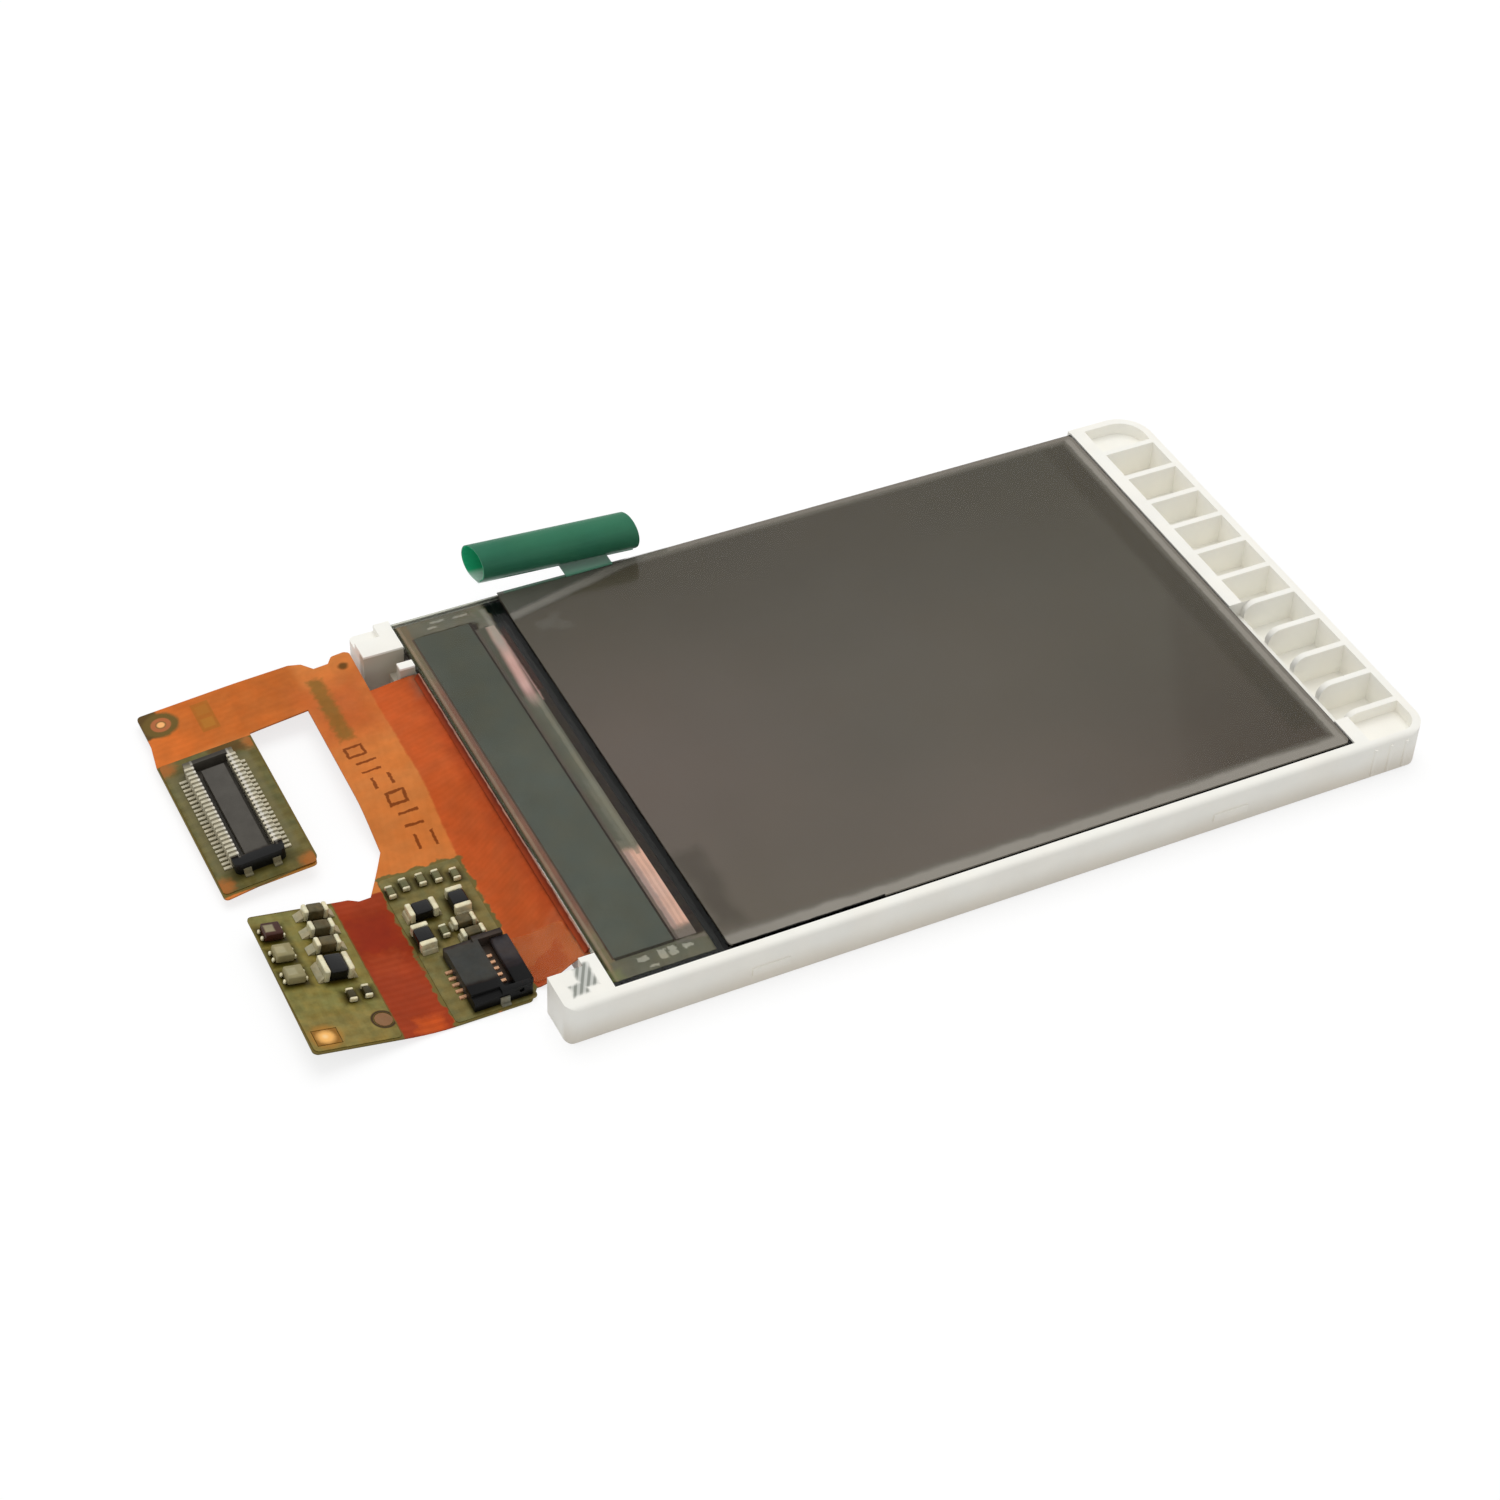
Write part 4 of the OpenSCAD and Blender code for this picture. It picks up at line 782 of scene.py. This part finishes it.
def connector_dark():
    finish = Finish("housing dark", (84, 81, 76), 0.42)
    walls = finish.calc("MAXIMUM", finish.area((-17.4, -15.95), (20.6, 30.2), 0.1),
                        finish.area((-13.65, -12.0), (20.6, 30.2), 0.1))
    finish.lay(finish.calc("MULTIPLY", walls, finish.above(1.1)), (150, 143, 123), 0.95)
    for x in TONGUE_EDGES:
        rim = finish.area((x - 0.07, x + 0.07), (20.4, 30.0), 0.06)
        finish.lay(finish.calc("MULTIPLY", rim, finish.above(1.6)), (205, 200, 188), 0.9)
    # Painted shade on the housing's near end and in the slot at its far end
    finish.patch((-19, -10), (18, 20.6), (44, 40, 38), 0.3, 0.1, 0.9)
    finish.patch((-19, -10), (29.6, 32), (56, 52, 48), 0.4, 0.1, 0.7)
    finish.mottle(1.0, 0.08)
    finish.grain(12, 0.003)
    return finish.done()


def contact_metal():
    """Contacts of the board connector, brightest where they turn down beside its tongue."""
    finish = Finish("contact metal", (202, 195, 172), 0.35, Metallic=0.1)
    for x in TONGUE_EDGES:
        finish.patch((x - 0.12, x + 0.12), (19, 31), (222, 216, 202), 0.1)
    finish.mottle(2.0, 0.12, 0.02)
    finish.grain(12, 0.003)
    return finish.done()


def resin_brown():
    """The bead of resin along the glass edge: dark, with a pale line next to the glass."""
    finish = Finish("resin brown", (158, 68, 40), 0.4, specular=0.1)
    finish.patch((-0.2, 0.2), (0, 36), (98, 40, 27), 0.3)
    finish.patch((-0.09, 0.2), (0, 36), (176, 134, 116), 0.06, 0.06, 0.85)
    finish.mottle(0.6, 0.15, 0.05)
    return finish.done()


def pad_gold():
    finish = Finish("pad gold", (148, 106, 54), 0.3, Metallic=0.1)
    finish.spot(*GOLD_PAD_AT, (250, 190, 112), 0.5, soft=0.45, waver=0.2)
    finish.spot(-16.45, 4.6, (255, 212, 150), 0.16, soft=0.25)
    finish.grain(9, 0.003)
    return finish.done()


def latch_dark():
    finish = Finish("latch dark", (50, 46, 47), 0.35, specular=0.15)
    finish.patch((-6, -2), (3, 5.6), (30, 26, 26), 0.7, 0.1)
    finish.patch((-6, -2), (6.4, 8.2), (74, 70, 70), 1.0, 0.3, 0.6)
    finish.mottle(1.5, 0.12, 0.05)
    finish.grain(10, 0.004)
    return finish.done()


def socket_grey():
    finish = Finish("socket grey", (74, 65, 59), 0.4, specular=0.15)
    finish.patch((-8, -5.2), (5.0, 8.6), (66, 70, 68), 0.8, 0.5, 0.7)
    finish.patch((-9, -3), (3, 5.2), (36, 31, 31), 0.5, 0.1)
    finish.patch((-9, -3), (8.7, 10), (44, 38, 38), 0.3, 0.1, 0.8)
    finish.mottle(1.2, 0.1, 0.03)
    finish.grain(10, 0.004)
    return finish.done()


def inductor_black():
    finish = Finish("inductor black", (38, 32, 32), 0.3, specular=0.3)
    finish.mottle(1.6, 0.35, 0.1)
    finish.grain(7, 0.01)
    return finish.done()


def array_grey():
    finish = Finish("array grey", (150, 141, 106), 0.4)
    finish.patch((-18, -15), (13.0, 14.4), (78, 58, 54), 0.1)
    for y in (9.7, 11.65, 13.6):
        finish.patch((-16.9, -16.3), (y - 0.3, y + 0.3), (172, 164, 132), 0.15, 0.05, 0.7)
    finish.mottle(1.2, 0.1, 0.02)
    finish.grain(10, 0.004)
    return finish.done()


def resistor_dark():
    finish = Finish("resistor dark", (112, 110, 82), 0.4)
    finish.patch((-18, -11), (3, 17), (60, 54, 46), 0.2, 0.1, 0.8)
    finish.mottle(1.8, 0.15, 0.03)
    finish.grain(10, 0.004)
    return finish.done()


def clear_glass():
    """Glass that lets the lamp's light through to what lies under it."""
    finish = Finish("clear glass", (238, 242, 236), 0.02, specular=0.06, Transmission_Weight=1.0, IOR=1.22)
    finish.mottle(0.2, 0.01)
    shadow = finish.add("ShaderNodeLightPath").outputs["Is Shadow Ray"]
    finish.feed(finish.shader.inputs["Alpha"], finish.calc("SUBTRACT", 1.0, shadow))
    return finish.done()


FRAME_WHITE = frame_white()
POLYIMIDE = polyimide_orange()
OLIVE = coverlay_olive()
TIN = plain("solder tin", (226, 219, 188), 0.3, amount=0.14, specular=0.5, gain=0.9, Metallic=0.3)
HOUSING = connector_dark()
CONTACT = contact_metal()
PRISM = plain("prism clear", (225, 228, 228), 0.3)
CLEAR_TAPE = Finish("clear tape", (222, 134, 84), 0.2, specular=0.3, Alpha=0.2)
CLEAR_TAPE.mottle(0.8, 0.1)

dress("reflector_sheet", plain("reflector silver", (225, 226, 228), 0.25))
dress("light_guide", plain("guide clear", (235, 238, 235), 0.1))
dress("diffuser_sheet", plain("diffuser white", (240, 240, 236), 0.6))
dress("lower_prism_sheet", PRISM)
dress("upper_prism_sheet", PRISM)
dress("led_flex", POLYIMIDE)
dress("leds", plain("led resin", (240, 230, 150), 0.35))
dress("rim_tape", plain("rim black", (24, 24, 24), 0.6, specular=0.1))
dress("rear_polariser", plain("rear polariser grey", (60, 60, 58), 0.3))
dress("filter_glass", plain("filter glass", (44, 40, 34), 0.5, **UNDER_GLASS))
dress("tft_glass", clear_glass())
dress("front_polariser", screen_grey())
dress("protective_film", clear_film())
dress("pull_tab", tab_green())
dress("driver_chip", chip_mirror())
dress("ledge_cover", cover_grey())
dress("bond_resin", resin_brown())
smoothed("flex_circuit", POLYIMIDE)
for area in ("left_coverlay", "right_coverlay", "connector_coverlay"):
    smoothed(area, OLIVE)
dress("connector_stiffener", plain("stiffener amber", (190, 130, 60), 0.4))
dress("gold_pad", pad_gold())
dress("test_pad", plain("pad copper", (141, 106, 78), 0.4))
smoothed("root_tape", CLEAR_TAPE.done())
softened("connector_housing", HOUSING, 0.05)
dress("connector_contacts", CONTACT)
dress("connector_tabs", plain("tab metal", (134, 128, 106), 0.4, amount=0.15))
softened("socket_housing", socket_grey(), 0.06)
dress("socket_contacts", plain("contact copper", (228, 176, 138), 0.3, amount=0.15, Metallic=0.1))
dress("socket_tabs", plain("socket tab metal", (128, 126, 112), 0.4, amount=0.15))
softened("socket_latch", latch_dark(), 0.1, 3, body="latch")
softened("capacitor_bodies", plain("capacitor tan", (98, 90, 70), 0.4, amount=0.25), 0.1, 3)
for ends in ("capacitor_ends", "inductor_ends", "resistor_ends", "array_pins"):
    softened(ends, TIN, 0.11, 3)
softened("solder_fillets", plain("solder grey", (176, 168, 138), 0.35, amount=0.15), 0.06, 3)
softened("inductor_bodies", inductor_black(), 0.16, 3)
softened("filter_arrays", array_grey(), 0.1, 3)
softened("resistor_bodies", resistor_dark(), 0.06)
softened("frame", FRAME_WHITE, 0.12, 3)
sheet("ledge_wiring", ((0.02, 1.0, 0.05, 35.95), (1.0, 6.95, 0.05, 2.2), (1.0, 4.9, 34.4, 35.95),
                       (4.9, 6.95, 33.6, 35.95), (4.9, 5.05, 2.2, 33.6), (6.4, 6.95, 2.2, 33.6),
                       (5.05, 6.4, 2.2, 2.4)), WIRING_Z, ledge_wiring())

# ---- Camera, floor and light ----
CAMERA_AT = Vector((-0.08142, -0.13527, 0.14010))
CAMERA_AIM = Vector((-0.01083, -0.00253, 0.003))
CAMERA_ROLL = math.radians(2.66)
CAMERA_LENS = 76.85
SENSOR_WIDTH = 36
CLIP_START = 0.005
AMBIENT = 0.6
LAMP_AT = (0.05, 0.22, 0.6)
LAMP_SIZE = 0.5
LAMP_WATTS = 1.7
FLOOR_REACH = 1.5
# The floor as it lights the module, as it is seen, and how much of what is seen is its own white
FLOOR_LIT = (0.8, 0.8, 0.8, 1)
FLOOR_SEEN = (0.28, 0.28, 0.28, 1)
FLOOR_GLOW = 0.76


def place_camera():
    camera = bpy.data.objects.new("camera", bpy.data.cameras.new("camera"))
    bpy.context.scene.collection.objects.link(camera)
    camera.data.lens = CAMERA_LENS
    camera.data.sensor_width = SENSOR_WIDTH
    camera.data.clip_start = CLIP_START
    aimed = (CAMERA_AIM - CAMERA_AT).to_track_quat("-Z", "Y").to_matrix()
    turn = aimed @ Matrix.Rotation(CAMERA_ROLL, 3, "Z")
    camera.matrix_world = Matrix.Translation(CAMERA_AT) @ turn.to_4x4()
    bpy.context.scene.camera = camera


def shown_white(graph):
    """One for the rays that show the backdrop, and nothing for those that light the module."""
    path = graph.add("ShaderNodeLightPath").outputs
    shown = graph.calc("ADD", path["Is Camera Ray"], path["Is Glossy Ray"])
    return graph.calc("ADD", shown, path["Is Transmission Ray"], clamp=True)


def light_the_set():
    world = bpy.data.worlds.new("soft white")
    bpy.context.scene.world = world
    world.use_nodes = True
    graph = Graph(world.node_tree)
    strength = graph.calc("MULTIPLY_ADD", shown_white(graph), 1 - AMBIENT, AMBIENT)
    background = world.node_tree.nodes["Background"]
    background.inputs["Color"].default_value = WHITE
    graph.feed(background.inputs["Strength"], strength)
    lamp = bpy.data.objects.new("overhead lamp", bpy.data.lights.new("overhead lamp", "AREA"))
    bpy.context.scene.collection.objects.link(lamp)
    lamp.data.shape = "SQUARE"
    lamp.data.size = LAMP_SIZE
    lamp.data.energy = LAMP_WATTS
    lamp.visible_glossy = False
    lamp.visible_transmission = False
    lamp.location = LAMP_AT
    lamp.rotation_euler = (Vector((0, 0, 0)) - lamp.location).to_track_quat("-Z", "Y").to_euler()


def lay_floor():
    """A pale floor: most of what is seen of it is its own white, so that the shadow on it stays light."""
    mesh = bpy.data.meshes.new("table")
    corners = [(FLOOR_REACH * x, FLOOR_REACH * y, 0) for x, y in ((-1, -1), (1, -1), (1, 1), (-1, 1))]
    mesh.from_pydata(corners, [], [(0, 1, 2, 3)])
    table = bpy.data.objects.new("table", mesh)
    bpy.context.scene.collection.objects.link(table)
    material = bpy.data.materials.new("table white")
    material.use_nodes = True
    graph = Graph(material.node_tree)
    shader = material.node_tree.nodes["Principled BSDF"]
    shader.inputs["Roughness"].default_value = 0.9
    shader.inputs["Specular IOR Level"].default_value = 0.0
    shader.inputs["Emission Color"].default_value = WHITE
    shown = shown_white(graph)
    graph.feed(shader.inputs["Base Color"], graph.mix(shown, FLOOR_LIT, FLOOR_SEEN))
    graph.feed(shader.inputs["Emission Strength"], graph.calc("MULTIPLY", shown, FLOOR_GLOW))
    mesh.materials.append(material)


place_camera()
light_the_set()
lay_floor()
bpy.context.scene.view_settings.view_transform = "Standard"
